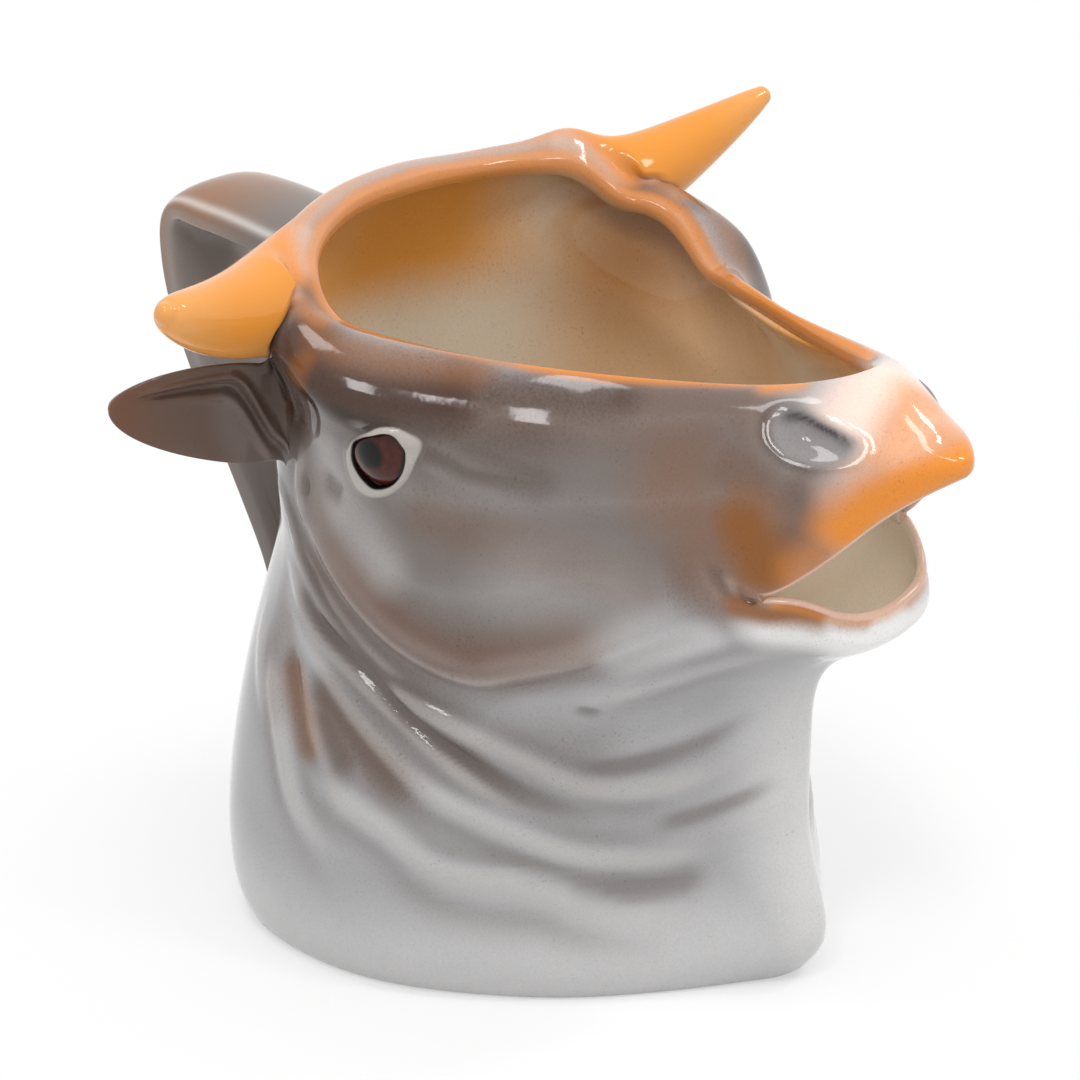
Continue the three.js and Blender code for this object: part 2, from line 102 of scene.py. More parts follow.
EYE_PLACE = (4.125, 7.9)
NOSTRIL_PLACE = (1.24, 8.8)
HORN_PLACE = (5.5, 9.2)
HORN_FOOT = [(5.95, 10.4), (5.5, 10.4), (5.16, 10.15), (5.0, 9.65), (4.98, 9.05), (5.12, 8.5),
             (5.4, 8.2), (5.75, 8.25), (6.12, 8.6), (6.4, 9.2), (6.7, 9.8), (6.5, 10.3)]
EAR_PLACE = (5.75, 6.9)
HANDLE_TOP_ROW = 8.6

# How many grid steps the body has between two columns and between two rows
STEPS_BY_COLUMN = (16, 28, 36, 42, 38, 28, 12, 9)
STEPS_BY_ROW = (5, 12, 23, 24, 22, 14, 10, 26, 21, 12, 9)
INNER_STEPS_BY_ROW = (3, 2, 2, 2, 3, 3, 10, 3, 3, 3, 3)
FINE = 6  # steps of the planed net between two points of the drawn one


def unit(vectors):
    """Each vector divided by its length."""
    return vectors / np.maximum(np.linalg.norm(vectors, axis=-1, keepdims=True), 1e-12)


def ease(value, low=0.0, high=1.0):
    """0 below low, 1 above high and 3t^2 - 2t^3 between them."""
    t = np.clip((value - low) / (high - low), 0, 1)
    return t * t * (3 - 2 * t)


def cubic_weights(f):
    """The four Catmull-Rom weights at the share f between the two middle points."""
    return (
        0.5 * (-f + 2 * f**2 - f**3),
        0.5 * (2 - 5 * f**2 + 3 * f**3),
        0.5 * (f + 4 * f**2 - 3 * f**3),
        0.5 * (-f**2 + f**3),
    )


def spline(points, at):
    """A uniform Catmull-Rom curve through points, read at a list of shares counted in points."""
    points = np.asarray(points, float)
    ends = np.concatenate([[2 * points[0] - points[1]], points, [2 * points[-1] - points[-2]]])
    at = np.asarray(at, float)
    k = np.clip(np.floor(at).astype(int), 0, len(points) - 2)
    weights = cubic_weights(at - k)
    shape = (-1,) + (1,) * (points.ndim - 1)
    return sum(w.reshape(shape) * ends[k + i] for i, w in enumerate(weights))


def full_ring(half):
    """The whole ring from its left half: columns -8 to 7."""
    mirror = half[:, :0:-1] * (-1, 1, 1)
    return np.concatenate([mirror, half[:, :-1]], axis=1)


def along_rows(net):
    """The net divided finer from row to row. Over the mouth the curves above and below it are drawn
    apart, and run straight on into the gap, so each lip keeps its own edge."""
    shares = np.arange(0, RIM_ROW + 1e-6, 1 / FINE)
    fine = spline(net, shares)
    gap = (LOWER_LIP_ROW + UPPER_LIP_ROW) / 2
    low, high = shares < gap, shares >= gap
    for column in range(BACK_COLUMN - 1, BACK_COLUMN + 2):
        below, above = net[:LOWER_LIP_ROW + 1, column], net[UPPER_LIP_ROW:, column]
        over = np.maximum(shares[low] - LOWER_LIP_ROW, 0)[:, None]
        under = np.maximum(UPPER_LIP_ROW - shares[high], 0)[:, None]
        fine[low, column] = (spline(below, np.minimum(shares[low], LOWER_LIP_ROW))
                             + over * (below[-1] - below[-2]))
        fine[high, column] = (spline(above, np.maximum(shares[high] - UPPER_LIP_ROW, 0))
                              - under * (above[1] - above[0]))
    return fine


def planed(net):
    """The drawn net divided finer by Catmull-Rom curves both ways, then planed: each point moved to the
    1-2-1 mean of itself and its neighbours, four times, which takes the flats out of the curves. The
    drawn points are first moved out by what planing would move them in."""
    aim = net.copy()
    for _ in range(3):
        turned = np.moveaxis(along_rows(aim), 1, 0)
        wrapped = np.concatenate([turned[-2:], turned, turned[:3]])
        shares = 2 + np.arange(0, 2 * BACK_COLUMN, 1 / FINE)
        fine = np.moveaxis(spline(wrapped, shares), 0, 1)
        for _ in range(4):
            fine = (np.roll(fine, 1, 1) + 2 * fine + np.roll(fine, -1, 1)) / 4
            fine[1:-1] = (fine[:-2] + 2 * fine[1:-1] + fine[2:]) / 4
        aim = aim + net - fine[::FINE, ::FINE]
    return softened(fine)


def softened(fine):
    """The planed net with the bend behind each corner of the mouth spread out: there each point is moved
    towards the mean of its upper and lower neighbours, forty times."""
    columns, rows = np.meshgrid(np.arange(fine.shape[1]) / FINE - BACK_COLUMN, np.arange(len(fine)) / FINE)
    aside = np.abs(columns)
    share = ease(aside, 1.95, 2.7) * ease(aside, 4.2, 3.2) * ease(rows, 4.6, 5.6) * ease(rows, 8.8, 7.8)
    fine = fine.copy()
    for _ in range(40):
        bend = fine[:-2] - 2 * fine[1:-1] + fine[2:]
        fine[1:-1] += 0.25 * share[1:-1, :, None] * bend
    return fine


def read_net(fine, columns, rows):
    """The surface of a planed net at places, by Catmull-Rom weights both ways."""
    columns, rows = np.broadcast_arrays(np.asarray(columns, float), np.asarray(rows, float))
    count = fine.shape[1]
    u = (columns + BACK_COLUMN) * FINE
    v = np.clip(rows * FINE, 0, fine.shape[0] - 1)
    i = np.floor(u).astype(int)
    j = np.clip(np.floor(v).astype(int), 0, fine.shape[0] - 2)
    tall = np.concatenate([[2 * fine[0] - fine[1]], fine, [2 * fine[-1] - fine[-2]]])
    across = cubic_weights(u - i)
    upward = cubic_weights(v - j)
    total = 0
    for b, wb in enumerate(upward):
        for a, wa in enumerate(across):
            total = total + (wa * wb)[..., None] * tall[j + b, (i + a - 1) % count]
    return total


def net_normal(fine, columns, rows):
    """The outward direction: the cross product of the two slopes, across and upward."""
    step = 0.04
    low = np.clip(np.asarray(rows, float) - step, 0, RIM_ROW)
    high = np.clip(np.asarray(rows, float) + step, 0, RIM_ROW)
    across = read_net(fine, columns + step, rows) - read_net(fine, columns - step, rows)
    upward = read_net(fine, columns, high) - read_net(fine, columns, low)
    return unit(np.cross(across, upward))


def object_shift():
    """How far the drawn net lies in front of its place in the frame."""
    turned = np.asarray(HIDE_NET, float)
    front = spline(turned, np.arange(0, RIM_ROW + 1e-6, 0.05))[:, 0, 1].min()
    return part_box("body")[0].y * 1000 - front


DRAWN = np.asarray(HIDE_NET, float) + (0, object_shift(), 0)
HIDE = planed(full_ring(DRAWN))


def on_hide(place):
    """The point of the planed hide at one place."""
    return read_net(HIDE, *place)


def place_of(points, columns, rows):
    """The places on the hide nearest to points, starting from a guess: Newton's steps along the two
    slopes of the surface."""
    columns = np.array(np.broadcast_to(columns, len(points)), float)
    rows = np.array(np.broadcast_to(rows, len(points)), float)
    step = 0.03
    for _ in range(12):
        here = read_net(HIDE, columns, rows)
        across = (read_net(HIDE, columns + step, rows) - read_net(HIDE, columns - step, rows)) / (2 * step)
        high = np.clip(rows + step, 0, RIM_ROW)
        low = np.clip(rows - step, 0, RIM_ROW)
        upward = (read_net(HIDE, columns, high) - read_net(HIDE, columns, low)) / (high - low)[..., None]
        miss = points - here
        aa = (across * across).sum(-1)
        ab = (across * upward).sum(-1)
        bb = (upward * upward).sum(-1)
        ma = (miss * across).sum(-1)
        mb = (miss * upward).sum(-1)
        scale = np.maximum(aa * bb - ab * ab, 1e-9)
        columns += np.clip((ma * bb - mb * ab) / scale, -0.4, 0.4)
        rows = np.clip(rows + np.clip((mb * aa - ma * ab) / scale, -0.4, 0.4), 0.02, RIM_ROW)
    return columns, rows


def nearest_on_path(points, path, reach):
    """For each point within reach of a path: which points they are, the nearest point of the path, the
    path's direction there and the share of its length."""
    low, high = path.min(0) - reach, path.max(0) + reach
    near = np.flatnonzero(((points > low) & (points < high)).all(-1))
    starts, ends = path[:-1], path[1:]
    along = ends - starts
    squares = (along * along).sum(-1)
    lengths = np.sqrt(squares)
    before = np.concatenate([[0], np.cumsum(lengths)[:-1]])
    best = np.full(len(near), 1e18)
    foot = np.zeros((len(near), 3))
    way = np.zeros((len(near), 3))
    share = np.zeros(len(near))
    some = points[near]
    for k in range(len(starts)):
        f = np.clip(((some - starts[k]) @ along[k]) / squares[k], 0, 1)
        at = starts[k] + f[:, None] * along[k]
        distance = ((some - at) ** 2).sum(-1)
        closer = distance < best
        best = np.where(closer, distance, best)
        foot = np.where(closer[:, None], at, foot)
        way = np.where(closer[:, None], along[k] / lengths[k], way)
        share = np.where(closer, (before[k] + f * lengths[k]) / lengths.sum(), share)
    return near, foot, way, share


def hide_path(places, steps=3):
    """A smooth path over the hide through places."""
    shares = np.arange(0, len(places) - 1 + 1e-6, 1 / steps)
    drawn = spline(np.asarray(places, float), shares)
    return read_net(HIDE, drawn[:, 0], drawn[:, 1])


def mirrored_side(points):
    """Points with their right half moved over onto the left half."""
    return np.where(points[:, :1] < 0, points * (-1, 1, 1), points)


def bell(distance):
    """exp(-distance^2), 1 in the middle and next to nothing two units away."""
    return np.exp(-(distance**2))


def ends_fade(share, fade):
    """1 along a stroke, easing to 0 over a share of its length at both ends."""
    return ease(share, 0, fade[0]) * ease(1 - share, 0, fade[1])


def carved(points, normals, places, height, width, fade=(0.3, 0.3), folded=False):
    """The relief of one stroke carved along a path over the hide. With d the distance from the path in
    widths, a ridge is height * exp(-d^2), and a fold is height * d * exp((1 - d^2) / 2), which stands
    up on the left of the path's direction and sinks on its right."""
    relief = np.zeros(len(points))
    near, foot, way, share = nearest_on_path(points, hide_path(places), 3 * width)
    off = points[near] - foot
    d = np.linalg.norm(off, axis=-1) / width
    if folded:
        side = np.sign((off * np.cross(normals[near], way)).sum(-1))
        shape = side * d * np.exp((1 - d * d) / 2)
    else:
        shape = bell(d)
    relief[near] = height * shape * ends_fade(share, fade)
    return relief


# Strokes carved into the hide: places, height (below 0 a groove), width and how the ends fade where that
# isn't over 0.3 of the length. The jaw is a fold, the others are ridges.
JAW_FOLD = ([(5.34, 6.42), (5.26, 5.5), (4.9, 4.94), (4.5, 4.62), (4.14, 4.56), (3.8, 4.52), (3.5, 4.72),
    (3.06, 4.84), (2.68, 5.1), (2.36, 5.38), (1.94, 5.3)], -0.5, 2.6, (0.2, 0.3))
CARVED = {
    "jaw edge": ([(5.3, 6.2), (5.2, 5.5), (4.9, 4.98), (4.5, 4.68), (4.14, 4.6), (3.8, 4.6), (3.5, 4.76),
        (3.06, 4.9), (2.68, 5.14)], 0.3, 0.9, (0.3, 0.4)),
    "throat crease": ([(5.52, 4.86), (5.0, 4.34), (4.54, 3.98), (4.24, 3.92), (3.94, 3.82),
        (3.62, 3.66)], -0.75, 0.9, (0.15, 0.5)),
    "first fold": ([(5.92, 4.76), (5.24, 4.56), (4.78, 4.16), (4.4, 3.9), (3.92, 3.64), (3.36, 3.24),
        (2.8, 2.88), (2.0, 2.78), (1.16, 3.06), (0.6, 3.42)], 0.75, 1.7, (0.2, 0.3)),
    "second crease": ([(5.5, 4.2), (4.7, 3.92), (4.3, 3.54), (3.86, 3.24), (3.3, 2.8), (2.72, 2.52),
        (2.36, 2.46)], -0.75, 1.0, (0.15, 0.4)),
    "second fold": ([(5.94, 4.42), (5.32, 4.06), (4.78, 3.76), (4.36, 3.5), (3.82, 3.04), (3.28, 2.62),
        (2.98, 2.5)], 0.6, 1.2, (0.2, 0.3)),
    "third fold": ([(5.84, 4.14), (5.08, 3.68), (4.52, 3.2), (4.08, 2.84), (3.64, 2.58), (2.86, 2.16),
        (2.32, 2.06), (1.8, 2.04), (1.1, 2.2)], 0.8, 1.7, (0.2, 0.3)),
    "fourth fold": ([(5.5, 3.5), (5.24, 3.18), (4.8, 2.62), (4.18, 2.3), (3.68, 1.94), (3.0, 1.8),
        (2.66, 1.64), (2.14, 1.52), (1.56, 1.52)], 0.7, 1.9, (0.2, 0.3)),
    "fifth fold": ([(5.82, 3.44), (5.42, 2.9), (5.08, 2.34), (4.72, 2.0),
        (4.42, 1.8)], 0.8, 1.6, (0.2, 0.5)),
    "back fold": ([(6.2, 3.7), (6.14, 3.42), (5.8, 3.06), (5.42, 2.68)], 0.5, 1.5, (0.3, 0.5)),
    "rust valley": ([(5.5, 3.7), (5.44, 3.48), (5.26, 3.18), (5.08, 2.88), (4.84, 2.62),
        (4.6, 2.4)], -0.8, 1.3, (0.2, 0.4)),
    "chin fold": ([(3.22, 4.26), (2.58, 4.22), (1.9, 4.36), (1.46, 4.8)], 0.5, 2.0),
    "throat shade": ([(3.04, 3.08), (2.48, 3.04), (1.68, 3.22), (0.82, 3.66)], -0.5, 1.5, (0.3, 0.4)),
    "dewlap shade": ([(2.16, 2.34), (1.56, 2.46), (0.86, 2.7), (0.4, 2.9)], -0.5, 1.4, (0.3, 0.4)),
    "low shade": ([(2.6, 1.78), (1.96, 1.78), (1.34, 1.9)], -0.5, 1.4),
    "small nick": ([(3.14, 4.1), (2.96, 3.98), (2.82, 3.9)], -0.4, 0.6, (0.4, 0.4)),
    "cheek ridge": ([(5.3, 6.84), (5.34, 6.3), (5.34, 5.78), (5.28, 5.28)], 0.5, 0.8),
    "nape ridge": ([(6.08, 5.38), (5.74, 5.28), (5.46, 4.64)], 0.5, 1.0),
    "cheek slit": ([(5.24, 6.36), (5.24, 6.1), (5.25, 5.86)], -0.6, 0.7, (0.4, 0.4)),
    "hair one": ([(5.18, 8.5), (5.18, 8.08), (5.4, 7.4), (5.72, 6.66)], -0.5, 0.7),
    "hair three": ([(4.5, 8.8), (4.58, 8.4), (4.76, 7.88), (5.1, 7.1)], -0.18, 0.6),
    "hair four": ([(4.9, 9.3), (4.85, 8.6), (4.98, 7.9), (5.3, 7.0)], -0.25, 0.5),
    "temple": ([(4.92, 6.8), (4.88, 6.62), (4.72, 6.66)], -0.6, 1.2),
    "horn fold one": ([(5.34, 10.04), (5.22, 9.7), (5.14, 9.3)], -0.5, 0.6, (0.3, 0.5)),
    "horn fold two": ([(5.12, 10.1), (5.02, 9.7), (4.96, 9.3)], -0.5, 0.6, (0.3, 0.5)),
    "eye corner": ([(3.86, 8.34), (3.76, 8.2), (3.64, 8.06), (3.56, 7.9), (3.36, 7.8),
        (3.2, 7.78)], -0.3, 0.9, (0.1, 0.5)),
    "upper lid fold": ([(4.2, 8.5), (4.05, 8.52), (3.9, 8.4), (3.74, 8.24)], 0.35, 0.7),
    "mouth fold one": ([(2.24, 7.26), (2.22, 6.9), (2.16, 6.4), (2.1, 6.0)], -0.35, 0.6),
    "mouth fold two": ([(2.12, 7.06), (2.1, 6.6), (2.06, 6.1), (2.02, 5.8)], -0.4, 0.45),
    "mouth fold ridge": ([(2.19, 7.2), (2.16, 6.7), (2.1, 6.2)], 0.35, 0.4),
}

# Outlines in their own plane: millimetres forward and up from their place. Angles run round OUTLINE_MIDDLE.
EYE_OPENING = [(-4.0, 0.4), (-2.7, 2.8), (0.1, 4.2), (2.7, 4.0), (4.0, 1.9), (3.4, -1.0), (1.5, -3.4),
               (-1.1, -4.3), (-3.0, -3.3), (-4.1, -1.5)]
LID_EDGE = [(-6.3, -2.3), (-5.5, 0.3), (-3.2, 2.9), (0.1, 4.9), (2.8, 5.1), (4.9, 4.4), (6.7, 3.0),
            (5.3, 0.1), (3.5, -2.9), (0.8, -5.2), (-2.3, -6.1), (-4.8, -5.5), (-6.0, -4.2)]
NOSTRIL_OUTLINE = [(-4.8, 0.4), (-3.9, 1.8), (-2.0, 2.2), (0.6, 1.9), (3.0, 1.7), (4.9, 1.2),
                   (5.0, -0.4), (3.7, -1.9), (1.1, -3.1), (-1.8, -3.2), (-4.0, -1.9)]
OUTLINE_MIDDLE = -0.3
SOCKET_DEPTH = 1.0
NOSTRIL_DEPTH = 1.6


class Plane:
    """A plane that touches the hide at a place on the left side, with its forward and up directions."""

    def __init__(self, place):
        self.middle = on_hide(place)
        self.outward = net_normal(HIDE, *place)
        forward = np.array([0.0, -1.0, 0.0])
        self.forward = unit(forward - forward @ self.outward * self.outward)
        self.up = np.cross(self.outward, self.forward)
        if self.up[2] < 0:
            self.up = -self.up

    def flat(self, points):
        """Forward and up of points, and how far they stand off the plane."""
        off = points - self.middle
        return off @ self.forward, off @ self.up, off @ self.outward

    def point(self, forward, up):
        """The point of the plane at forward and up."""
        return self.middle + forward[..., None] * self.forward + up[..., None] * self.up


EYE_PLANE = Plane(EYE_PLACE)
NOSTRIL_PLANE = Plane(NOSTRIL_PLACE)


def round_middle(forward, up):
    """The angle and the distance of places in a plane, seen from the middle of the outlines."""
    forward, up = forward - OUTLINE_MIDDLE, up - OUTLINE_MIDDLE
    return np.arctan2(up, forward), np.hypot(forward, up)


def radius_of(outline, angle):
    """The distance of a closed smooth outline from its middle, at angles."""
    points = np.asarray(outline, float) - OUTLINE_MIDDLE
    count = len(points)
    smooth = spline(np.concatenate([points, points, points]), np.arange(count, 2 * count + 1e-6, 0.05))
    angles = np.arctan2(smooth[:, 1], smooth[:, 0])
    order = np.argsort(angles)
    return np.interp(angle, angles[order], np.hypot(smooth[:, 0], smooth[:, 1])[order], period=2 * math.pi)


def eye_socket(points):
    """The dip under the eyeball and its lids: full depth inside the opening, nothing outside the lids."""
    forward, up, off = EYE_PLANE.flat(points)
    angle, distance = round_middle(forward, up)
    inner, outer = radius_of(EYE_OPENING, angle), radius_of(LID_EDGE, angle) + 0.8
    near = np.abs(off) < 8
    return -SOCKET_DEPTH * (1 - ease(distance, inner - 0.5, outer)) * near


def nostril_shares(points):
    """For each point its distance from the middle of the nostril, 1 on the outline, and how much it lies
    on the upper side of it."""
    forward, up, off = NOSTRIL_PLANE.flat(points)
    angle, distance = round_middle(forward, up)
    share = distance / radius_of(NOSTRIL_OUTLINE, angle)
    return np.where(np.abs(off) < 7, share, 9), ease(np.sin(angle), -0.1, 0.6)


def nostril(points):
    """The nostril: a soft scoop that runs out half its width beyond its outline."""
    distance, _ = nostril_shares(points)
    return -NOSTRIL_DEPTH * (1 - ease(distance, 0.05, 1.55))


def hide_relief(columns, rows, with_socket=True):
    """How far the modelled hide stands off the planed net: the sum of all carved strokes, the nostrils
    and the eye sockets."""
    points = mirrored_side(read_net(HIDE, columns, rows))
    normals = net_normal(HIDE, np.abs(columns), rows)
    total = nostril(points) + carved(points, normals, *JAW_FOLD, folded=True)
    for stroke in CARVED.values():
        total += carved(points, normals, *stroke)
    if with_socket:
        total += eye_socket(points)
    return total * ease(rows, 0, 0.5)


def hide_surface(columns, rows, with_socket=True):
    """The finished outside of the hide at places, and its outward directions."""
    normals = net_normal(HIDE, columns, rows)
    relief = hide_relief(columns, rows, with_socket)
    return read_net(HIDE, columns, rows) + relief[:, None] * normals, normals, relief


# Where the clay was pushed out of its even shape by hand before firing: centre, radius and shift
PUSHED = [
    ((-15.6, -50, 63), 5, (0, 0, -0.9)),  # right corner of the mouth
    ((32, 15, 92.5), 4.5, (0, 0, -2.2)),  # notch in the rim at the left horn
    ((29, -5, 87.5), 8, (0, 0, -2.6)),  # dip of the rim over the left brow
    ((30, 23, 98), 6, (0, 0, 3.0)),  # ridge behind the left horn
    ((11, 27, 100), 8, (0, 0, -0.8)),  # poll
    ((29.5, -17, 84), 6, (-2.0, 1.2, 0)),  # in front of the left brow
    ((39, -2, 86), 8, (0.6, 0, 1.2)),  # left brow
    ((11.5, -60.5, 80.5), 6, (-1.2, 1.3, 0)),  # left nostril
    ((0, -70, 78), 4, (0, -0.8, 0)),  # tip of the nose
]


LIP_LIFT = 0.3  # rise of the left upper lip for each millimetre that it lies aside
# How far the middle of the upper lip is drawn out
TIP_FORWARD = 1.3
TIP_RISE = 2.0


def pushed(points):
    """Points moved as the soft clay was: each push of the table fades as exp(-(distance / radius)^2), and
    the animal's left side of the upper lip stands up to a few millimetres higher, with its middle drawn
    out to a point."""
    x, y, z = points.T
    moved = points.copy()
    for centre, radius, shift in PUSHED:
        squares = ((points - centre) ** 2).sum(-1)
        moved += np.exp(-squares / radius**2)[:, None] * np.array(shift, float)
    lift = LIP_LIFT * np.maximum(x, 0) * ease(-y, 38, 52) * ease(z, 60, 66) * ease(z, 86, 76)
    tip = bell(x / 5) * ease(-y, 58, 68) * ease(z, 66, 74) * ease(z, 84, 78)
    moved[:, 1] -= TIP_FORWARD * tip
    moved[:, 2] += lift + TIP_RISE * tip
    return moved


# Glazes sprayed over the hide, with the painted shade of the neck's folds among them: strokes as places,
# radius and strength
SPRAYED = {
    "slate": [
        ([(1.9, 8.7), (2.6, 8.3), (3.4, 8.2), (4.4, 8.4), (5.2, 8.2)], 15, 1.0),
        ([(1.3, 8.4), (1.5, 8.0), (1.7, 7.6), (2.2, 7.2)], 7, 0.9),
        ([(1.5, 9.2), (1.9, 9.5), (2.6, 9.4)], 6, 1.0),
        ([(2.2, 7.6), (3.0, 7.0), (4.0, 6.6), (5.0, 6.9), (5.7, 7.0)], 15, 1.0),
        ([(3.0, 6.0), (3.6, 5.6), (4.3, 5.6), (4.9, 6.0)], 12, 0.9),
        ([(6.2, 8.2), (7.0, 8.3), (8.0, 8.4)], 12, 0.8),
        ([(5.6, 10.3), (6.4, 10.1), (8.0, 9.8)], 9, 0.7),
        ([(5.6, 6.6), (5.9, 5.6)], 9, 0.7),
    ],
    # Painted shade: darker grey laid along the valleys of the neck's folds, where shade falls
    "shade": [
        ([(5.6, 5.2), (5.0, 4.4), (4.5, 4.0), (3.9, 3.8), (3.3, 3.7)], 6, 0.95),
        ([(5.3, 4.2), (4.3, 3.5), (3.8, 3.2), (3.3, 2.8), (2.4, 2.45)], 4.5, 0.9),
        ([(3.6, 3.4), (2.8, 3.2), (2.2, 3.3)], 9, 0.4),
        ([(4.95, 3.4), (4.6, 3.15), (4.3, 2.9), (3.8, 2.6)], 5.5, 0.95),
        ([(4.95, 3.1), (4.75, 2.85), (4.5, 2.7)], 5.0, 0.9),
        ([(2.6, 1.75), (2.0, 1.8), (1.4, 1.9)], 4.0, 0.2),
        ([(3.0, 3.1), (2.4, 3.05), (1.7, 3.2)], 3.5, 0.2),
        ([(5.9, 4.4), (5.9, 3.7), (5.7, 3.0)], 3.5, 0.4),
        ([(5.6, 5.6), (5.5, 4.9), (5.1, 4.3)], 5.0, 0.5),
    ],
    "brown": [
        ([(4.9, 5.3), (4.3, 5.1), (3.7, 5.0), (3.1, 5.2)], 8, 0.85),
        ([(5.1, 6.2), (5.0, 5.6)], 6, 0.4),
        ([(3.4, 9.2), (2.8, 9.1), (2.2, 8.9)], 8, 0.55),
        ([(2.4, 6.6), (2.3, 6.0)], 7, 0.6),
        ([(2.0, 8.4), (1.5, 7.8), (1.65, 7.4)], 6, 0.65),
        ([(3.9, 7.2), (3.2, 6.7), (2.7, 6.2)], 6, 0.5),
        # Partly painted shade: this brown darkens the same fold valley as the shade strokes
        ([(4.95, 3.3), (4.6, 3.0), (4.3, 2.8)], 5, 0.5),
        ([(2.5, 9.6), (1.9, 9.4), (1.75, 8.9)], 6, 0.55),
        ([(5.7, 3.7), (5.5, 3.0)], 5, 0.4),
    ],
    "milk": [
        ([(0.0, 5.5), (0.7, 5.5), (1.3, 5.4), (1.8, 5.1)], 7, 1.0),
        ([(2.3, 5.0), (2.8, 4.8)], 5, 0.4),
        ([(0.0, 3.4), (0.0, 2.0), (0.0, 1.0)], 14, 0.6),
        ([(0.0, 1.2), (1.6, 0.8), (3.2, 0.6), (4.8, 0.5), (6.4, 1.0)], 16, 0.4),
        ([(4.95, 7.1), (4.75, 6.5), (4.4, 6.0)], 7, 0.25),
        ([(3.3, 6.2), (2.9, 5.9)], 12, 0.15),
        ([(6.6, 3.4), (6.4, 1.8)], 10, 0.4),
    ],
    "umber": [
        ([(5.2, 9.8), (5.1, 9.0), (5.25, 8.2), (5.4, 7.4)], 9.5, 1.0),
        ([(4.6, 9.6), (4.3, 9.2), (3.9, 9.1), (3.5, 9.2)], 9, 0.9),
        ([(4.4, 9.0), (3.7, 8.9), (3.2, 8.9)], 12, 0.35),
        ([(3.5, 9.3), (3.1, 9.4), (2.7, 9.5)], 6, 0.6),
        ([(4.9, 9.0), (4.5, 8.7), (4.1, 8.7)], 6, 0.85),
        ([(4.95, 9.2), (4.8, 8.5), (4.95, 7.8)], 7, 0.65),
        ([(5.8, 8.2), (6.0, 7.6)], 7, 0.8),
        ([(3.5, 8.3), (3.2, 7.9)], 5, 0.35),
    ],
    "soot": [
        ([(5.2, 8.9), (5.3, 8.3), (5.3, 7.9)], 5, 0.8),
        ([(4.55, 8.5), (4.4, 8.45), (4.2, 8.55), (3.9, 8.5)], 2.6, 0.6),
    ],
    "rust": [
        ([(2.0, 7.7), (1.92, 7.3)], 8.5, 1.0),
        ([(2.4, 8.0), (2.1, 7.4), (1.7, 7.1)], 11, 0.4),
        ([(1.5, 7.1), (1.9, 7.05)], 2.5, 0.5),
        ([(5.38, 3.4), (5.22, 3.15), (5.05, 2.85)], 3.6, 0.75),
        ([(2.15, 5.85), (1.95, 5.6), (1.7, 5.75), (1.4, 5.95)], 3.8, 0.95),
        ([(1.6, 5.85), (1.0, 5.98), (0.5, 6.0)], 2.2, 0.5),
        ([(4.4, 9.8), (3.9, 9.8), (3.4, 9.9)], 5, 0.55),
        ([(4.4, 9.4), (4.5, 8.9)], 2.8, 0.6),
        ([(1.6, 10.7), (2.4, 10.7), (3.2, 10.7), (4.4, 10.7), (5.4, 10.8), (6.4, 10.75),
         (8.0, 10.8)], 1.6, 0.7),
    ],
    "blush": [
        ([(0.0, 9.7), (0.5, 9.4), (0.8, 8.9)], 9, 1.0),
        ([(0.0, 8.9), (0.5, 8.4)], 6, 0.9),
        ([(1.0, 8.2), (1.25, 7.8)], 5, 0.3),
        ([(6.2, 10.2), (7.0, 10.0), (8.0, 9.9)], 8, 0.3),
        ([(5.7, 10.5), (6.2, 10.4)], 5, 0.45),
        ([(5.25, 10.0), (5.15, 9.7)], 3.0, 0.5),
    ],
    "orange": [
        ([(0.0, 7.6), (0.5, 7.5), (1.0, 7.4), (1.3, 7.25)], 7, 1.0),
        ([(1.2, 7.3), (1.5, 7.15), (1.7, 7.1)], 5.0, 0.4),
        ([(0.0, 8.3), (0.5, 8.0), (0.9, 7.7)], 7, 0.65),
        ([(0.0, 9.1), (0.35, 8.7), (0.7, 8.2)], 6, 0.65),
        ([(1.3, 10.9), (1.6, 10.8), (2.4, 10.8), (3.2, 10.8)], 2.2, 0.9),
        ([(1.4, 10.4), (1.7, 10.3)], 3.0, 0.8),
        ([(3.2, 10.9), (4.0, 10.9), (4.8, 10.95), (5.4, 11), (6.4, 11), (8.0, 11)], 2.4, 0.6),
        ([(4.7, 10.3), (5.1, 10.2)], 3.5, 0.35),
        ([(5.5, 10.2), (5.9, 9.9), (6.3, 9.5)], 5, 0.85),
        ([(6.2, 10.0), (7.0, 9.8), (8.0, 9.7)], 3, 0.5),
        ([(0.0, 5.98), (0.7, 5.98), (1.4, 5.95), (1.9, 5.9)], 1.1, 0.4),
    ],
}


def sprayed_masks(points):
    """How strongly each glaze lies at points: the spray of a stroke eases from its strength at a tenth
    of its radius to 0 at its radius, and the strongest stroke counts. The painted shade in the folds runs
    out along the second half of its strokes."""
    side = mirrored_side(points)
    masks = {}
    for glaze, strokes in SPRAYED.items():
        mask = np.zeros(len(points))
        for places, radius, strength in strokes:
            near, foot, _, share = nearest_on_path(side, hide_path(places, 2), radius)
            distance = np.linalg.norm(side[near] - foot, axis=-1)
            spray = strength * (1 - ease(distance / radius, 0.1, 1.0))
            if glaze == "shade":
                spray *= 1 - ease(share, 0.55, 1.0)
            mask[near] = np.maximum(mask[near], spray)
        masks[glaze] = mask
    return masks


MASKS = list(SPRAYED) + ["ochre", "amber", "crease", "crest", "edge", "own", "tint"]


def steps_between(counts):
    """Places along the net with a number of even steps in each of its cells."""
    cells = [k + np.arange(n) / n for k, n in enumerate(counts)]
    return np.concatenate(cells + [[len(counts)]])


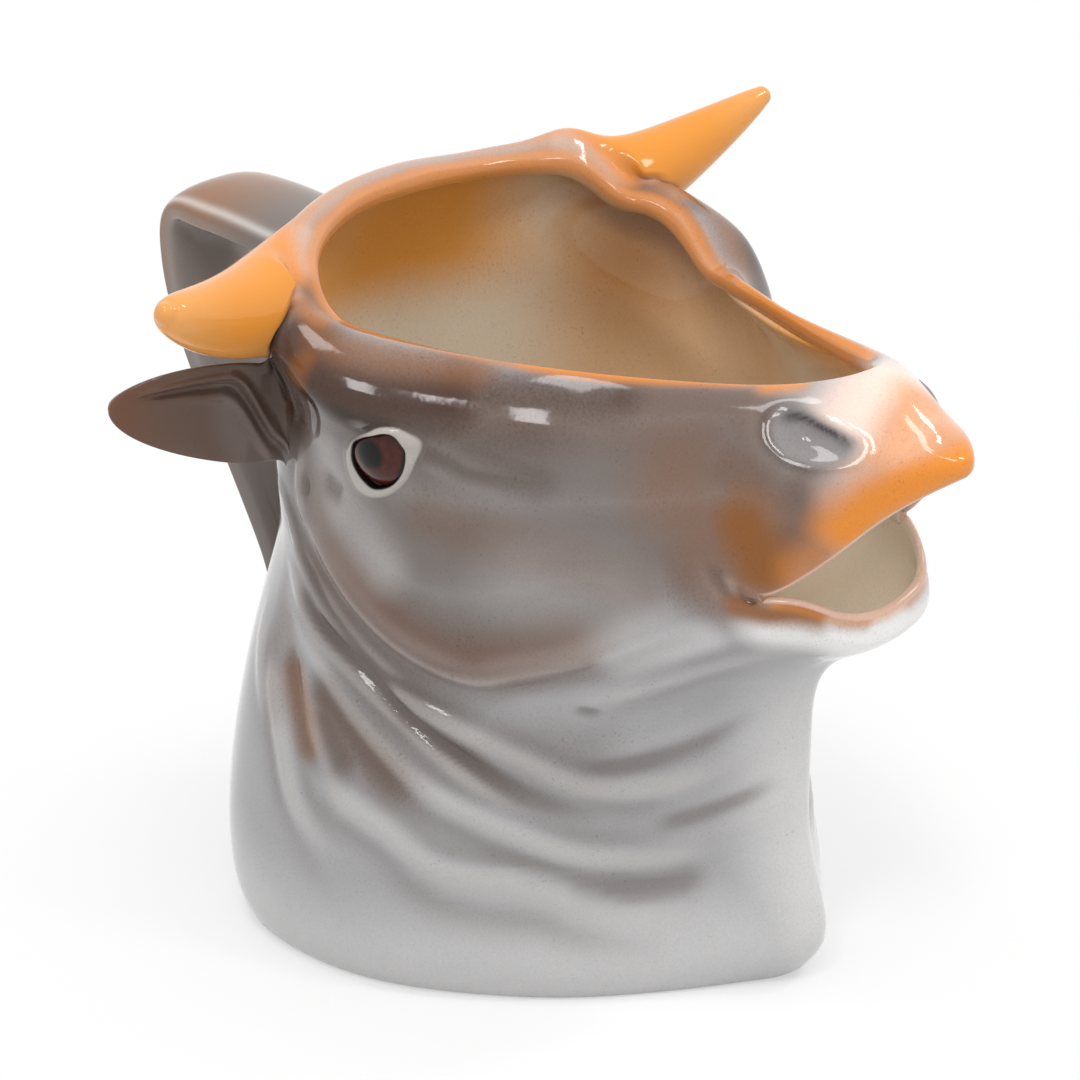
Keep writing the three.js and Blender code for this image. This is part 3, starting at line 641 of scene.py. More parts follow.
def grid_faces(rings, ring_size, keep=None):
    """Quads of a stack of closed rings, counted from the first vertex of the first ring."""
    r, k = np.meshgrid(np.arange(rings - 1), np.arange(ring_size), indexing="ij")
    n = (k + 1) % ring_size
    quads = np.stack([r * ring_size + k, r * ring_size + n, (r + 1) * ring_size + n,
                      (r + 1) * ring_size + k], -1)
    if keep is not None:
        return quads[keep]
    return quads.reshape(-1, 4)


def closed_stack(rings, start_pole, end_pole):
    """Points and faces of a stack of rings (ring, around, xyz) closed by a point at both ends."""
    count, size, _ = rings.shape
    points = np.concatenate([rings.reshape(-1, 3), [start_pole], [end_pole]])
    k = np.arange(size)
    n = (k + 1) % size
    first, last = count * size, count * size + 1
    base = (count - 1) * size
    start = np.stack([np.full(size, first), n, k], -1)
    end = np.stack([base + k, base + n, np.full(size, last)], -1)
    return points, grid_faces(count, size), np.concatenate([start, end])


def make_piece(name, points, quads, triangles, masks, material, slot, nodes=(), uv=None):
    """A smooth mesh object from millimetre points, with one float attribute for each glaze mask."""
    mesh = bpy.data.meshes.new(name)
    mesh.from_pydata(pushed(points) / 1000, [], quads.tolist() + triangles.tolist())
    mesh.update()
    mesh.shade_smooth()
    for key in MASKS:
        values = masks.get(key, np.zeros(len(points)))
        attribute = mesh.attributes.new(key, "FLOAT", "POINT")
        attribute.data.foreach_set("value", np.ascontiguousarray(values, np.float32))
    if uv is not None:
        layer = mesh.uv_layers.new(name="gaze")
        corner = np.empty(len(mesh.loops), np.int32)
        mesh.loops.foreach_get("vertex_index", corner)
        layer.data.foreach_set("uv", np.ascontiguousarray(uv[corner], np.float32).ravel())
    mesh.materials.append(material)
    piece = bpy.data.objects.new(name, mesh)
    bpy.context.scene.collection.objects.link(piece)
    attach(piece, "root")
    if nodes:
        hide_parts(*nodes)
    return piece


def mirrored_piece(name, points, quads, triangles, *rest):
    """The same piece on the animal's right side, its faces turned to point outwards again."""
    return make_piece(name, points * (-1, 1, 1), quads[:, ::-1], triangles[:, ::-1], *rest)


SIDES = (("left", make_piece), ("right", mirrored_piece))


FLOOR_CORNER = 4.5  # how far the inside curves in from the wall to the edge of its floor


def inner_net(wall, floor):
    """The inside of the wall: every point of the drawn net moved in by the wall, which is half as thick
    at the lips, and its foot row moved in and up to the floor."""
    mouth_row = (LOWER_LIP_ROW + UPPER_LIP_ROW) / 2
    columns, rows = np.meshgrid(np.arange(BACK_COLUMN + 1.0), np.arange(RIM_ROW + 1.0))
    thin = 0.5 * ease(np.abs(rows - mouth_row), 2.5, 0.5) * ease(columns, MOUTH_CORNER + 1, MOUTH_CORNER)
    inner = DRAWN - (wall * (1 - thin))[..., None] * net_normal(HIDE, columns, rows)
    middle = np.array([0, (DRAWN[0, 0, 1] + DRAWN[0, -1, 1]) / 2, 0])
    arm = DRAWN[0] - middle
    length = np.linalg.norm(arm, axis=-1, keepdims=True)
    inner[0] = middle + arm * (length - wall - FLOOR_CORNER) / length + (0, 0, floor)
    inner[:, 0, 0] = 0
    inner[:, -1, 0] = 0
    return planed(full_ring(inner))


def rounded_edge(outer, inner, away, bulge, steps):
    """Rings that round off the edge between two rings: the section is half an ellipse, from the outer
    ring over bulge times sin(angle) to the inner one."""
    angle = np.linspace(0, math.pi, steps + 2)[1:-1]
    share = (1 - np.cos(angle)) / 2
    lift = bulge * np.sin(angle)
    return outer + share[:, None, None] * (inner - outer) + lift[:, None, None] * away


FULL_BEND = 0.14  # bend, in millimetres, at which a crease or a crest is at full strength


def relief_shades(relief, ring_size):
    """Where glaze pools and shade is painted in creases, and where glaze thins and highlight is painted on
    crests: the relief's mean close around each point less its mean farther around it, below and above 0."""
    field = relief.reshape(-1, ring_size)
    soft = field
    for step in range(12):
        soft = (np.roll(soft, 1, 1) + np.roll(soft, -1, 1) + soft) / 3
        soft = np.concatenate([soft[:1], (soft[:-2] + soft[1:-1] + soft[2:]) / 3, soft[-1:]])
        if step == 1:
            near = soft
    bend = (near - soft).ravel()
    return np.clip(-bend / FULL_BEND, 0, 1), np.clip(bend / FULL_BEND, 0, 1)


def length_property(name, description, metres, least=0.0):
    """A length that a user can change."""
    return bpy.props.FloatProperty(
        name=name, description=description, default=metres, min=least, unit="LENGTH")


class JugSizes(bpy.types.PropertyGroup):
    """Sizes of the jug that a user would change."""

    wall: length_property("Wall", "Thickness of the cast wall", 0.003, 0.001)
    floor_height: length_property("Floor Height", "Top of the floor above the table", 0.005)
    foot_recess: length_property("Foot Recess", "Depth of the hollow under the foot", 0.0015)
    horn_span: length_property("Horn Span", "Distance between the horn tips", 0.1215)
    horn_root: length_property("Horn Root", "Diameter of a horn at the head", 0.0144)
    ear_length: length_property("Ear Length", "Length of an ear from the head", 0.025)
    ear_width: length_property("Ear Width", "Greatest width of an ear", 0.014)
    handle_width: length_property("Handle Width", "Width of the strap handle", 0.016)
    handle_thickness: length_property("Handle Thickness", "Thickness of the strap handle", 0.0044)
    eye_diameter: length_property("Eye Diameter", "Diameter of an eyeball", 0.0124)


def from_hex(code):
    """A linear colour from the usual six-digit code."""
    values = [int(code[i:i + 2], 16) / 255 for i in (1, 3, 5)]
    return tuple(v / 12.92 if v <= 0.04045 else ((v + 0.055) / 1.055) ** 2.4 for v in values)


def colour_property(name, description, code):
    """A colour a user can change."""
    return bpy.props.FloatVectorProperty(
        name=name, description=description, subtype="COLOR", size=3, min=0, max=1, default=from_hex(code))


class JugGlazes(bpy.types.PropertyGroup):
    """Colours of the jug's glazes, and of the shade and highlight painted on it."""

    neck: colour_property("Neck", "Pale grey glaze of the neck", "#a3a2a3")
    slate: colour_property("Slate", "Grey glaze of the head", "#756d69")
    # Shade is painted shade: darker grey in the folds of the neck, where shade falls
    shade: colour_property("Shade", "Darker grey sprayed into the folds", "#6a615c")
    brown: colour_property("Brown", "Soft brown of the cheek", "#6e5446")
    # Umber also paints the shade along the lower edge of the nostrils
    umber: colour_property("Umber", "Dark brown of the brow and behind the horns", "#40271a")
    # Soot also paints the shadow under the upper edge of the nostrils
    soot: colour_property("Soot", "Darkest brown in the hair and the nostril", "#150d0b")
    rust: colour_property("Rust", "Red-brown at the corner of the mouth", "#8a5524")
    orange: colour_property("Orange", "Orange of rim, nose and lips", "#e18a32")
    blush: colour_property("Blush", "Pinkish white of the nose", "#f2d6c8")
    milk: colour_property("Milk", "White of the chin", "#e2e1e0")
    ochre: colour_property("Ochre", "Ochre of the inside", "#e8a24a")
    # Painted shade: a darker ochre on the left of the inside, where the wall lies in shade
    amber: colour_property("Amber", "Darker ochre on the left of the inside", "#a06a28")
    inside: colour_property("Inside", "Grey beige of the inside", "#e2d8c4")
    horn: colour_property("Horn", "Yellow orange of the horns", "#dd8f38")
    horn_tip: colour_property("Horn Tip", "Paler glaze at the horns' tips", "#e0a567")
    ear: colour_property("Ear", "Brown of the ears", "#614d42")
    ear_tip: colour_property("Ear Tip", "Rusty brown at the ears' tips", "#6b4630")
    handle: colour_property("Handle", "Grey of the handle", "#78706b")
    handle_tint: colour_property("Handle Tint", "Brown on top of the handle", "#946a4c")
    lid: colour_property("Lid", "Cream grey of the eyelids", "#958a80")
    iris: colour_property("Iris", "Red-brown of the eyes", "#5a2618")
    iris_edge: colour_property("Iris Edge", "Darker rays of the eyes", "#120706")
    pupil: colour_property("Pupil", "Black of the pupils", "#060404")
    eye_line: colour_property("Eye Line", "Black line round the eyes", "#0b0706")
    # Creases darken with pooled glaze and painted shade; crests pale with thin glaze and painted highlight
    pooled_glaze_and_shade: colour_property("Pooled", "Glaze that lies thick in a crease", "#584a43")
    thin_glaze_and_highlight: colour_property("Thinned", "Glaze that lies thin on a crest", "#d8d2ce")


def sizes():
    """The jug's sizes in millimetres, by name."""
    group = bpy.context.scene.jug_sizes
    return {key: getattr(group, key) * 1000 for key in JugSizes.__annotations__}


def glazes():
    """The jug's glazes as colours, by name."""
    group = bpy.context.scene.jug_glazes
    return {key: tuple(getattr(group, key)) for key in JugGlazes.__annotations__}


class Bench:
    """Adds and links the nodes of one tree."""

    def __init__(self, tree):
        self.tree = tree

    def node(self, kind, settings=None, **inputs):
        """A node with its settings, and its inputs set or linked by name."""
        node = self.tree.nodes.new(kind)
        for key, value in (settings or {}).items():
            setattr(node, key, value)
        for key, value in inputs.items():
            self.feed(node.inputs[key.replace("_", " ")], value)
        return node

    def feed(self, socket, value):
        """Link an output to a socket, or set the socket's own value."""
        if isinstance(value, bpy.types.NodeSocket):
            self.tree.links.new(value, socket)
        elif isinstance(value, (tuple, list)) and len(value) == 3 and socket.type == "RGBA":
            socket.default_value = (*value, 1.0)
        else:
            socket.default_value = value

    def maths(self, operation, *values, clamp=False):
        """The result of a Math node."""
        node = self.node("ShaderNodeMath", {"operation": operation, "use_clamp": clamp})
        for socket, value in zip(node.inputs, values):
            self.feed(socket, value)
        return node.outputs[0]

    def mix(self, share, first, second):
        """One colour mixed into another."""
        node = self.node("ShaderNodeMix", {"data_type": "RGBA"})
        for socket, value in zip((node.inputs[0], node.inputs[6], node.inputs[7]), (share, first, second)):
            self.feed(socket, value)
        return node.outputs[2]

    def mask(self, name):
        """A mask stored on the mesh."""
        return self.node("ShaderNodeAttribute", {"attribute_name": name}).outputs["Fac"]

    def noise(self, vector, scale, detail, roughness=0.5):
        """The value of a Noise Texture node."""
        return self.node("ShaderNodeTexNoise", Vector=vector, Scale=scale, Detail=detail,
                         Roughness=roughness).outputs[0]

    def ranged(self, value, smooth=False, **limits):
        """The result of a Map Range node."""
        settings = {"interpolation_type": "SMOOTHSTEP"} if smooth else {}
        return self.node("ShaderNodeMapRange", settings, Value=value, **limits).outputs[0]

    def group(self, name, **inputs):
        """A node that holds one of the shared groups."""
        return self.node("ShaderNodeGroup", {"node_tree": shared_group(name)}, **inputs)

    def sprayed(self, name, vector):
        """A mask stored on the mesh, with the uneven edge of a spray."""
        return self.group("Airbrush", Mask=self.mask(name), Vector=vector).outputs[0]

    def seen_directly(self):
        """1 for what the camera sees straight on, mirrored in glaze or through glass, 0 for other light."""
        path = self.node("ShaderNodeLightPath").outputs
        seen = self.maths("MAXIMUM", path["Is Camera Ray"], path["Is Glossy Ray"])
        return self.maths("MAXIMUM", seen, path["Is Transmission Ray"])

    def finish(self, kind, share, first, second):
        """Mix two shaders and send them to the output node of a kind."""
        mixed = self.node("ShaderNodeMixShader")
        for socket, value in zip(mixed.inputs, (share, first.outputs[0], second.outputs[0])):
            self.feed(socket, value)
        self.node(kind, Surface=mixed.outputs[0])


def bare_bench(owner):
    """The bench of a material or world, emptied of the nodes that it came with."""
    owner.use_nodes = True
    owner.node_tree.nodes.clear()
    return Bench(owner.node_tree)


def fill_airbrush(bench, given, result):
    """A sprayed mask with an uneven edge and droplets: the mask is pushed up and down by cloudy noise
    and by fine droplets where it is neither bare nor covered."""
    mask = given["Mask"]
    bare = bench.maths("SUBTRACT", 1.0, mask, clamp=True)
    between = bench.maths("MULTIPLY", bench.maths("MULTIPLY", mask, bare), 4.0)
    cloud = bench.maths("SUBTRACT", bench.noise(given["Vector"], 160.0, 3.0), 0.5)
    drops = bench.maths("SUBTRACT", bench.noise(given["Vector"], 2600.0, 2.0), 0.5)
    push = bench.maths("ADD", bench.maths("MULTIPLY", cloud, given["Cloud"]),
                       bench.maths("MULTIPLY", drops, given["Droplets"]))
    push = bench.maths("MULTIPLY", push, between)
    bench.feed(result["Mask"], bench.maths("ADD", mask, push, clamp=True))


def fill_flecks(bench, given, result):
    """Grain and flecks in the glaze: the colour is darkened by the fine grain of a spray, and much more
    in small noise spots, kept where a slower noise allows them."""
    vector = given["Vector"]
    grain = bench.ranged(bench.noise(vector, 4200.0, 2.0, 0.7), From_Min=0.42, From_Max=0.75, To_Max=0.35)
    spots = bench.ranged(bench.noise(vector, 2600.0, 2.0, 0.6), From_Min=0.58, From_Max=0.74)
    where = bench.ranged(bench.noise(vector, 220.0, 2.0), From_Min=0.35, From_Max=0.65)
    share = bench.maths("MAXIMUM", grain, bench.maths("MULTIPLY", spots, where))
    share = bench.maths("MULTIPLY", share, given["Amount"], clamp=True)
    dark = bench.node("ShaderNodeVectorMath", {"operation": "SCALE"}, Vector=given["Color"], Scale=0.45)
    bench.feed(result["Color"], bench.mix(share, given["Color"], dark.outputs[0]))


def fill_flow(bench, given, result):
    """The slightly wavy face of a thick glaze, as a height, and its roughness."""
    waves = bench.noise(given["Vector"], 110.0, 1.0)
    pits = bench.noise(given["Vector"], 900.0, 1.0)
    height = bench.maths("ADD", bench.maths("MULTIPLY", waves, given["Waves"]),
                         bench.maths("MULTIPLY", pits, given["Pits"]))
    bench.feed(result["Height"], height)
    bench.feed(result["Roughness"], bench.ranged(pits, To_Min=0.05, To_Max=0.12))


# The shared node groups: inputs with their first values, outputs, and the function that fills them
GROUPS = {
    "Airbrush": ({"Mask": 0.0, "Vector": None, "Cloud": 0.15, "Droplets": 0.25}, ["Mask"], fill_airbrush),
    "Glaze Flecks": ({"Color": None, "Vector": None, "Amount": 0.5}, ["Color"], fill_flecks),
    "Glaze Flow": ({"Vector": None, "Waves": 0.6, "Pits": 0.2}, ["Height", "Roughness"], fill_flow),
}


def shared_group(name):
    """The node group of a name, made the first time that it is asked for."""
    if name in bpy.data.node_groups:
        return bpy.data.node_groups[name]
    inputs, outputs, fill = GROUPS[name]
    tree = bpy.data.node_groups.new(name, "ShaderNodeTree")
    kinds = {"Vector": "NodeSocketVector", "Color": "NodeSocketColor"}
    for label, value in inputs.items():
        kind = kinds.get(label, "NodeSocketFloat")
        socket = tree.interface.new_socket(name=label, in_out="INPUT", socket_type=kind)
        if value is not None:
            socket.default_value = value
    for label in outputs:
        kind = kinds.get(label, "NodeSocketFloat")
        tree.interface.new_socket(name=label, in_out="OUTPUT", socket_type=kind)
    bench = Bench(tree)
    fill(bench, bench.node("NodeGroupInput").outputs, bench.node("NodeGroupOutput").inputs)
    return tree


LAYERS = ("slate", "shade", "brown", "milk", "umber", "soot", "rust", "blush", "orange")


def glazed_material(name, flecks, inside=False, own=None, tint=None):
    """A glossy glaze: the sprayed layers, the painted shade of the folds among them, mixed over the neck's
    colour in the order they were sprayed, a piece's own glaze and its tint over them, darker in creases with
    pooled glaze and painted shade and paler on crests with thin glaze and painted highlight, with flecks in
    it, under a clear wavy surface."""
    material = bpy.data.materials.new(name)
    bench = bare_bench(material)
    vector = bench.node("ShaderNodeTexCoord").outputs["Object"]
    glaze = glazes()
    colour = glaze["neck"]
    for layer in LAYERS:
        colour = bench.mix(bench.sprayed(layer, vector), colour, glaze[layer])
    if own:
        colour = bench.mix(bench.mask("own"), colour,
                           bench.mix(bench.sprayed("tint", vector), glaze[own], glaze[tint]))
    # Painted shade in creases and painted highlight on crests, together with pooled and thin glaze
    for key, strength, shade in (("crease", 0.45, "pooled_glaze_and_shade"), ("crest", 0.25, "thin_glaze_and_highlight")):
        share = bench.maths("MULTIPLY", bench.mask(key), strength)
        colour = bench.mix(share, colour, glaze[shade])
    if inside:
        lining = bench.mix(bench.sprayed("ochre", vector), glaze["inside"], glaze["ochre"])
        # Painted shade on the inside wall by the left horn
        lining = bench.mix(bench.mask("amber"), lining, glaze["amber"])
        colour = bench.mix(bench.mask("edge"), colour, lining)
    speckled = bench.group("Glaze Flecks", Color=colour, Vector=vector, Amount=flecks)
    flow = bench.group("Glaze Flow", Vector=vector).outputs
    bump = bench.node("ShaderNodeBump", Height=flow["Height"], Distance=0.0002, Strength=0.22)
    shader = bench.node("ShaderNodeBsdfPrincipled", Base_Color=speckled.outputs[0],
                        Roughness=flow["Roughness"], Normal=bump.outputs[0], IOR=1.37)
    bench.node("ShaderNodeOutputMaterial", Surface=shader.outputs[0])
    return material


UP = np.array([0, 0, 1.0])
FOOT_ROUND = 0.25  # radius of the outer edge of the foot
RIM_RINGS = 7
LIP_RINGS = 6
# How strongly the glazes lie on the rim behind the nose, and on the lips
RIM_GLAZES = {"rust": 0.35, "blush": 0.1, "orange": 0.78}
LIP_GLAZES = {"milk": 0.5, "rust": 0.15, "blush": 0.3, "orange": 0.35}
# Middle and radius of the painted shade on the inside wall by the left horn
PAINTED_INSIDE_SHADE_PLACE = (33, 14, 82)
PAINTED_INSIDE_SHADE_RADIUS = 13


def nearest(values, value):
    """The index of the entry that is closest to a value."""
    return int(np.argmin(np.abs(values - value)))


def underside(foot, recess):
    """Rings from the middle of the hollow under the foot out to the flat ring that the jug stands on, the
    middle of the hollow, and the directions outward."""
    middle = foot.mean(0)
    arm = unit(foot - middle)
    flat = [share * foot + (1 - share) * middle + recess * UP for share in (0.3, 0.7)]
    # How far in from the edge of the foot each ring lies, and how high
    profile = ((5.3, recess), (4.6, 0.8 * recess), (4.2, 0.15), (3.6, 0), (0.9, 0))
    edge = [foot - inset * arm + height * UP for inset, height in profile]
    return np.array(flat + edge), middle + recess * UP, arm


def mouth_edge(rings, outer, inner_low, corners, wall):
    """The rounded edge of the lips, walked once around the mouth from corner to corner along the lower
    ring and back along the upper one: its rings, and the indices of its points on the outer wall and on
    the inner one, whose rings are counted back from inner_low."""
    low, high = outer
    start, end = corners
    across = rings.shape[1]
    along, side = np.arange(start, end), np.arange(low, high)
    ring = np.concatenate([np.full(len(along), low), side, np.full(len(along), high), side[::-1] + 1])
    column = np.concatenate([along, np.full(len(side), end), along[::-1] + 1, np.full(len(side), start)])
    inner_ring = inner_low - (ring - low)
    upward = unit(rings[ring + 1, column] - rings[ring - 1, column])
    toward = np.where(ring == low, 1.0, np.where(ring == high, -1.0, 0.0))
    toward[(column == end) | (column == start)] = 0
    lips = rounded_edge(rings[ring, column], rings[inner_ring, column], upward * toward[:, None],
                        0.25 * wall, LIP_RINGS)
    return lips, ring * across + column, inner_ring * across + column


def body_masks(points, outside, rim, inside, lips, crease, crest):
    """The glazes of the body, with painted shade and painted highlight among them: the sprayed ones, changed
    on the rim, on the lips and in the nostrils, the lining, and the creases and crests. outside, rim, inside
    and lips are slices of the points."""
    across = (rim.stop - rim.start) // RIM_RINGS
    around = (len(points) - lips.start) // LIP_RINGS
    masks = sprayed_masks(points)
    edge = np.zeros(len(points))
    edge[rim] = ease(np.repeat(np.linspace(0.1, 1, RIM_RINGS), across), 0.3, 0.75)
    edge[inside] = 1
    edge[inside.stop + 1] = 1  # middle of the floor
    edge[lips] = ease(np.repeat(np.linspace(0.1, 1, LIP_RINGS), around), 0.5, 1.0)
    masks["edge"] = edge
    # At the nose the rim has the nose's blush alone
    behind = ease(points[rim, 1], -53, -44)
    for key, strength in RIM_GLAZES.items():
        ahead = 1.0 if key == "blush" else 0.0
        masks[key][rim] = ahead + (strength - ahead) * behind
    for key, strength in LIP_GLAZES.items():
        masks[key][lips] = strength
    # The nostrils are grey, with painted shadow: a black line under the upper edge and a brown one at the
    # lower edge
    distance, top = nostril_shares(mirrored_side(points))
    scooped = 1 - ease(distance, 0.9, 1.5)
    for key in ("brown", "rust", "blush", "orange"):
        masks[key] = masks[key] * (1 - scooped)
    masks["slate"] = masks["slate"] * (1 - scooped) + 0.6 * scooped
    masks["soot"] = np.maximum(masks["soot"], 0.85 * top * bell((distance - 0.85) / 0.2))
    masks["umber"] = np.maximum(masks["umber"], 0.5 * (1 - top) * bell((distance - 1.4) / 0.2))
    # The lining is ochre at the upper back and on the left, with a patch of painted shade at the left horn
    aside, height = points[:, 0], points[:, 2]
    masks["ochre"] = np.maximum(ease(height, 73, 85) * ease(aside, 32, 12), 0.45 * ease(aside, 20, 32))
    masks["amber"] = 0.85 * bell(np.linalg.norm(points - PAINTED_INSIDE_SHADE_PLACE, axis=-1) / PAINTED_INSIDE_SHADE_RADIUS)
    # Pooled glaze and painted shade darken both edges of the rim
    rim_crease = 0.05 + 0.4 * np.linspace(1, -1, RIM_RINGS) ** 2
    for key, values, at_rim in (("crease", crease, rim_crease), ("crest", crest, np.zeros(RIM_RINGS))):
        masks[key] = np.zeros(len(points))
        masks[key][outside] = values
        masks[key][rim] = np.repeat(at_rim, across)
        masks[key] *= ease(distance, 1.2, 2.0)
    return masks


class JUG_OT_body(bpy.types.Operator):
    """Model the hollow body with its mouth, rim, foot and all carved folds"""

    bl_idname = "jug.body"
    bl_label = "Body"

    def execute(self, context):
        size = sizes()
        wall = size["wall"]
        half = steps_between(STEPS_BY_COLUMN)
        columns = np.concatenate([-half[:0:-1], half[:-1]])
        rows = steps_between(STEPS_BY_ROW)
        inner_rows = steps_between(INNER_STEPS_BY_ROW)[::-1]
        across = len(columns)

        grid_columns, grid_rows = np.meshgrid(columns, rows)
        outside, _, relief = hide_surface(grid_columns.ravel(), grid_rows.ravel())
        crease, crest = relief_shades(relief - eye_socket(mirrored_side(outside)), across)
        outside = outside.reshape(len(rows), across, 3)
        inside = read_net(inner_net(wall, size["floor_height"]), *np.meshgrid(columns, inner_rows))
        foot = outside[0].copy()
        foot[:, 2] = 0
        under, hollow, arm = underside(foot, size["foot_recess"])
        outside[0, :, :2] -= FOOT_ROUND * arm[:, :2]
        outside[0, :, 2] = FOOT_ROUND
        away = unit(outside[-1] - outside[-3])
        rim = rounded_edge(outside[-1], inside[0], away, 0.45 * wall, RIM_RINGS)
        floor_middle = inside[-1].mean(0)
        floor = np.array([inside[-1] + share * (floor_middle - inside[-1]) for share in (0.35, 0.7)])
        rings = np.concatenate([under, outside, rim, inside, floor])
        points, _, caps = closed_stack(rings, hollow, floor_middle)

        # The mouth is left open on both walls, and the lips join them
        first_inner = len(under) + len(rows) + len(rim)
        start, end = nearest(columns, -MOUTH_CORNER), nearest(columns, MOUTH_CORNER)
        low, high = (len(under) + nearest(rows, row) for row in (LOWER_LIP_ROW, UPPER_LIP_ROW))
        inner_low = first_inner + nearest(inner_rows, LOWER_LIP_ROW)
        inner_high = first_inner + nearest(inner_rows, UPPER_LIP_ROW)
        keep = np.ones((len(rings) - 1, across), bool)
        keep[low:high, start:end] = False
        keep[inner_high:inner_low, start:end] = False
        lips, outer_ids, inner_ids = mouth_edge(rings, (low, high), inner_low, (start, end), wall)
        base, around = len(points), len(outer_ids)
        strip = np.concatenate([outer_ids, base + np.arange(LIP_RINGS * around), inner_ids])
        quads = np.concatenate([grid_faces(len(rings), across, keep),
                                strip[grid_faces(LIP_RINGS + 2, around)]])
        points = np.concatenate([points, lips.reshape(-1, 3)])

        bounds = [k * across for k in (len(under), len(under) + len(rows), first_inner, len(rings))]
        spans = [slice(*bounds[k:k + 2]) for k in range(3)] + [slice(base, None)]
        masks = body_masks(points, *spans, crease, crest)
        material = glazed_material("glazed hide", 0.6, inside=True)
        make_piece("body_hide", points, quads, caps, masks, material, "glazed_hide", ["body"])
        return {"FINISHED"}


BURIED_SHARES = (0.35, 0.7, 0.93)  # of the way from the middle of a root out to its foot
BURIED_DEPTH = 1.3
FOOT_SUNK = 0.1  # how far the foot of a root lies under the hide
FILLET_PULL = 0.45  # share of a fillet's reach from its ends to the control points of its curve
OUTLINED_STARTS = (0.15, 0.36)  # the least and the greatest start of a piece with a drawn outline
LINE_BURIED = 5  # how far the line of a horn or an ear starts inside the hide


def flattened(vectors, normals):
    """Vectors less their part along unit normals."""
    return vectors - (vectors * normals).sum(-1, keepdims=True) * normals


def angles_round(count):
    """Even angles once round."""
    return np.linspace(0, 2 * math.pi, count, endpoint=False)


def rooted_stack(form, angles, shares, guess, rise, spread, fillet_steps, rings, along_power=1.0,
                 outline=None):
    """A piece that grows out of the hide. form(share, angle) gives the piece's surface, share 0 inside the
    wall and 1 at its tip. For every angle the piece starts where it stands rise above the hide, and a
    cubic Bezier curve carries it down and out onto the hide, at spread from where it would meet it or on
    an outline of places that runs around it. The closed end lies inside the wall."""
    grid_shares, grid_angles = np.meshgrid(shares, angles, indexing="ij")
    points = form(grid_shares.ravel(), grid_angles.ravel())
    columns, rows = place_of(points, *guess)
    off = points - read_net(HIDE, columns, rows)
    height = (off * net_normal(HIDE, columns, rows)).sum(-1).reshape(grid_shares.shape)

    def share_at(level):
        below = height < level
        last = len(shares) - 1 - np.argmax(below[::-1], axis=0)
        last = np.clip(last, 0, len(shares) - 2)
        k = np.arange(len(angles))
        low, high = height[last, k], height[last + 1, k]
        f = np.clip((level - low) / np.where(high == low, 1, high - low), 0, 1)
        found = shares[last] + f * (shares[last + 1] - shares[last])
        return np.where(below.any(0), found, shares[np.argmin(height, axis=0)])

    meets = share_at(0.0)
    starts = np.maximum(share_at(rise), meets + 0.03)
    if outline is not None:
        starts = np.clip(starts, *OUTLINED_STARTS)
    ring, joint = form(starts, angles), form(meets, angles)
    along = unit(form(starts + 0.01, angles) - ring)
    middle = joint.mean(0)
    joint_columns, joint_rows = place_of(joint, *guess)
    outward = unit(flattened(joint - middle, net_normal(HIDE, joint_columns, joint_rows)))
    if outline is None:
        out = joint + np.asarray(spread).reshape(-1, 1) * outward
        foot_columns, foot_rows = place_of(out, joint_columns, joint_rows)
    else:
        closed = np.asarray(outline * 3, float)
        foot_columns, foot_rows = spline(closed, len(outline) * (1 + angles / (2 * math.pi))).T
    foot, foot_normals, _ = hide_surface(foot_columns, foot_rows)
    foot = foot - FOOT_SUNK * foot_normals
    inward = unit(flattened(ring - foot, foot_normals))
    reach = np.linalg.norm(ring - foot, axis=-1, keepdims=True)
    low_pull = foot + FILLET_PULL * reach * inward
    high_pull = ring - FILLET_PULL * reach * along
    t = np.linspace(0, 1, fillet_steps + 1)[:-1].reshape(-1, 1, 1)
    skirt = ((1 - t) ** 3 * foot + 3 * (1 - t) ** 2 * t * low_pull
             + 3 * (1 - t) * t * t * high_pull + t**3 * ring)
    k = np.linspace(0, 1, rings).reshape(-1, 1) ** along_power
    body_shares = starts + (1 - starts) * k
    body = form(body_shares.ravel(), np.broadcast_to(angles, body_shares.shape).ravel()).reshape(rings, -1, 3)
    middle_column, middle_row = place_of(middle[None], *guess)

    def buried(share):
        columns = middle_column + share * (foot_columns - middle_column)
        rows = middle_row + share * (foot_rows - middle_row)
        return read_net(HIDE, columns, rows) - BURIED_DEPTH * net_normal(HIDE, columns, rows)

    return np.concatenate([np.array([buried(share) for share in BURIED_SHARES]), skirt, body]), buried(0)[0]


def tipped_piece(form, angles, shares, guess, rise, spread, fillet_steps, rings, **more):
    """A rooted piece closed at its tip: its points, quads, caps and glazes. Its own glaze covers none of
    it where it runs out on the hide and all of it above its skirt."""
    stack, pole = rooted_stack(form, angles, shares, guess, rise, spread, fillet_steps, rings, **more)
    points, quads, caps = closed_stack(stack[:-1], pole, stack[-1].mean(0))
    share = ease((np.arange(len(stack) - 1) - len(BURIED_SHARES)) / fillet_steps, 0.15, 0.85)
    masks = sprayed_masks(points)
    masks["own"] = np.concatenate([np.repeat(share, len(angles)), [0, 1]])
    return points, quads, caps, masks


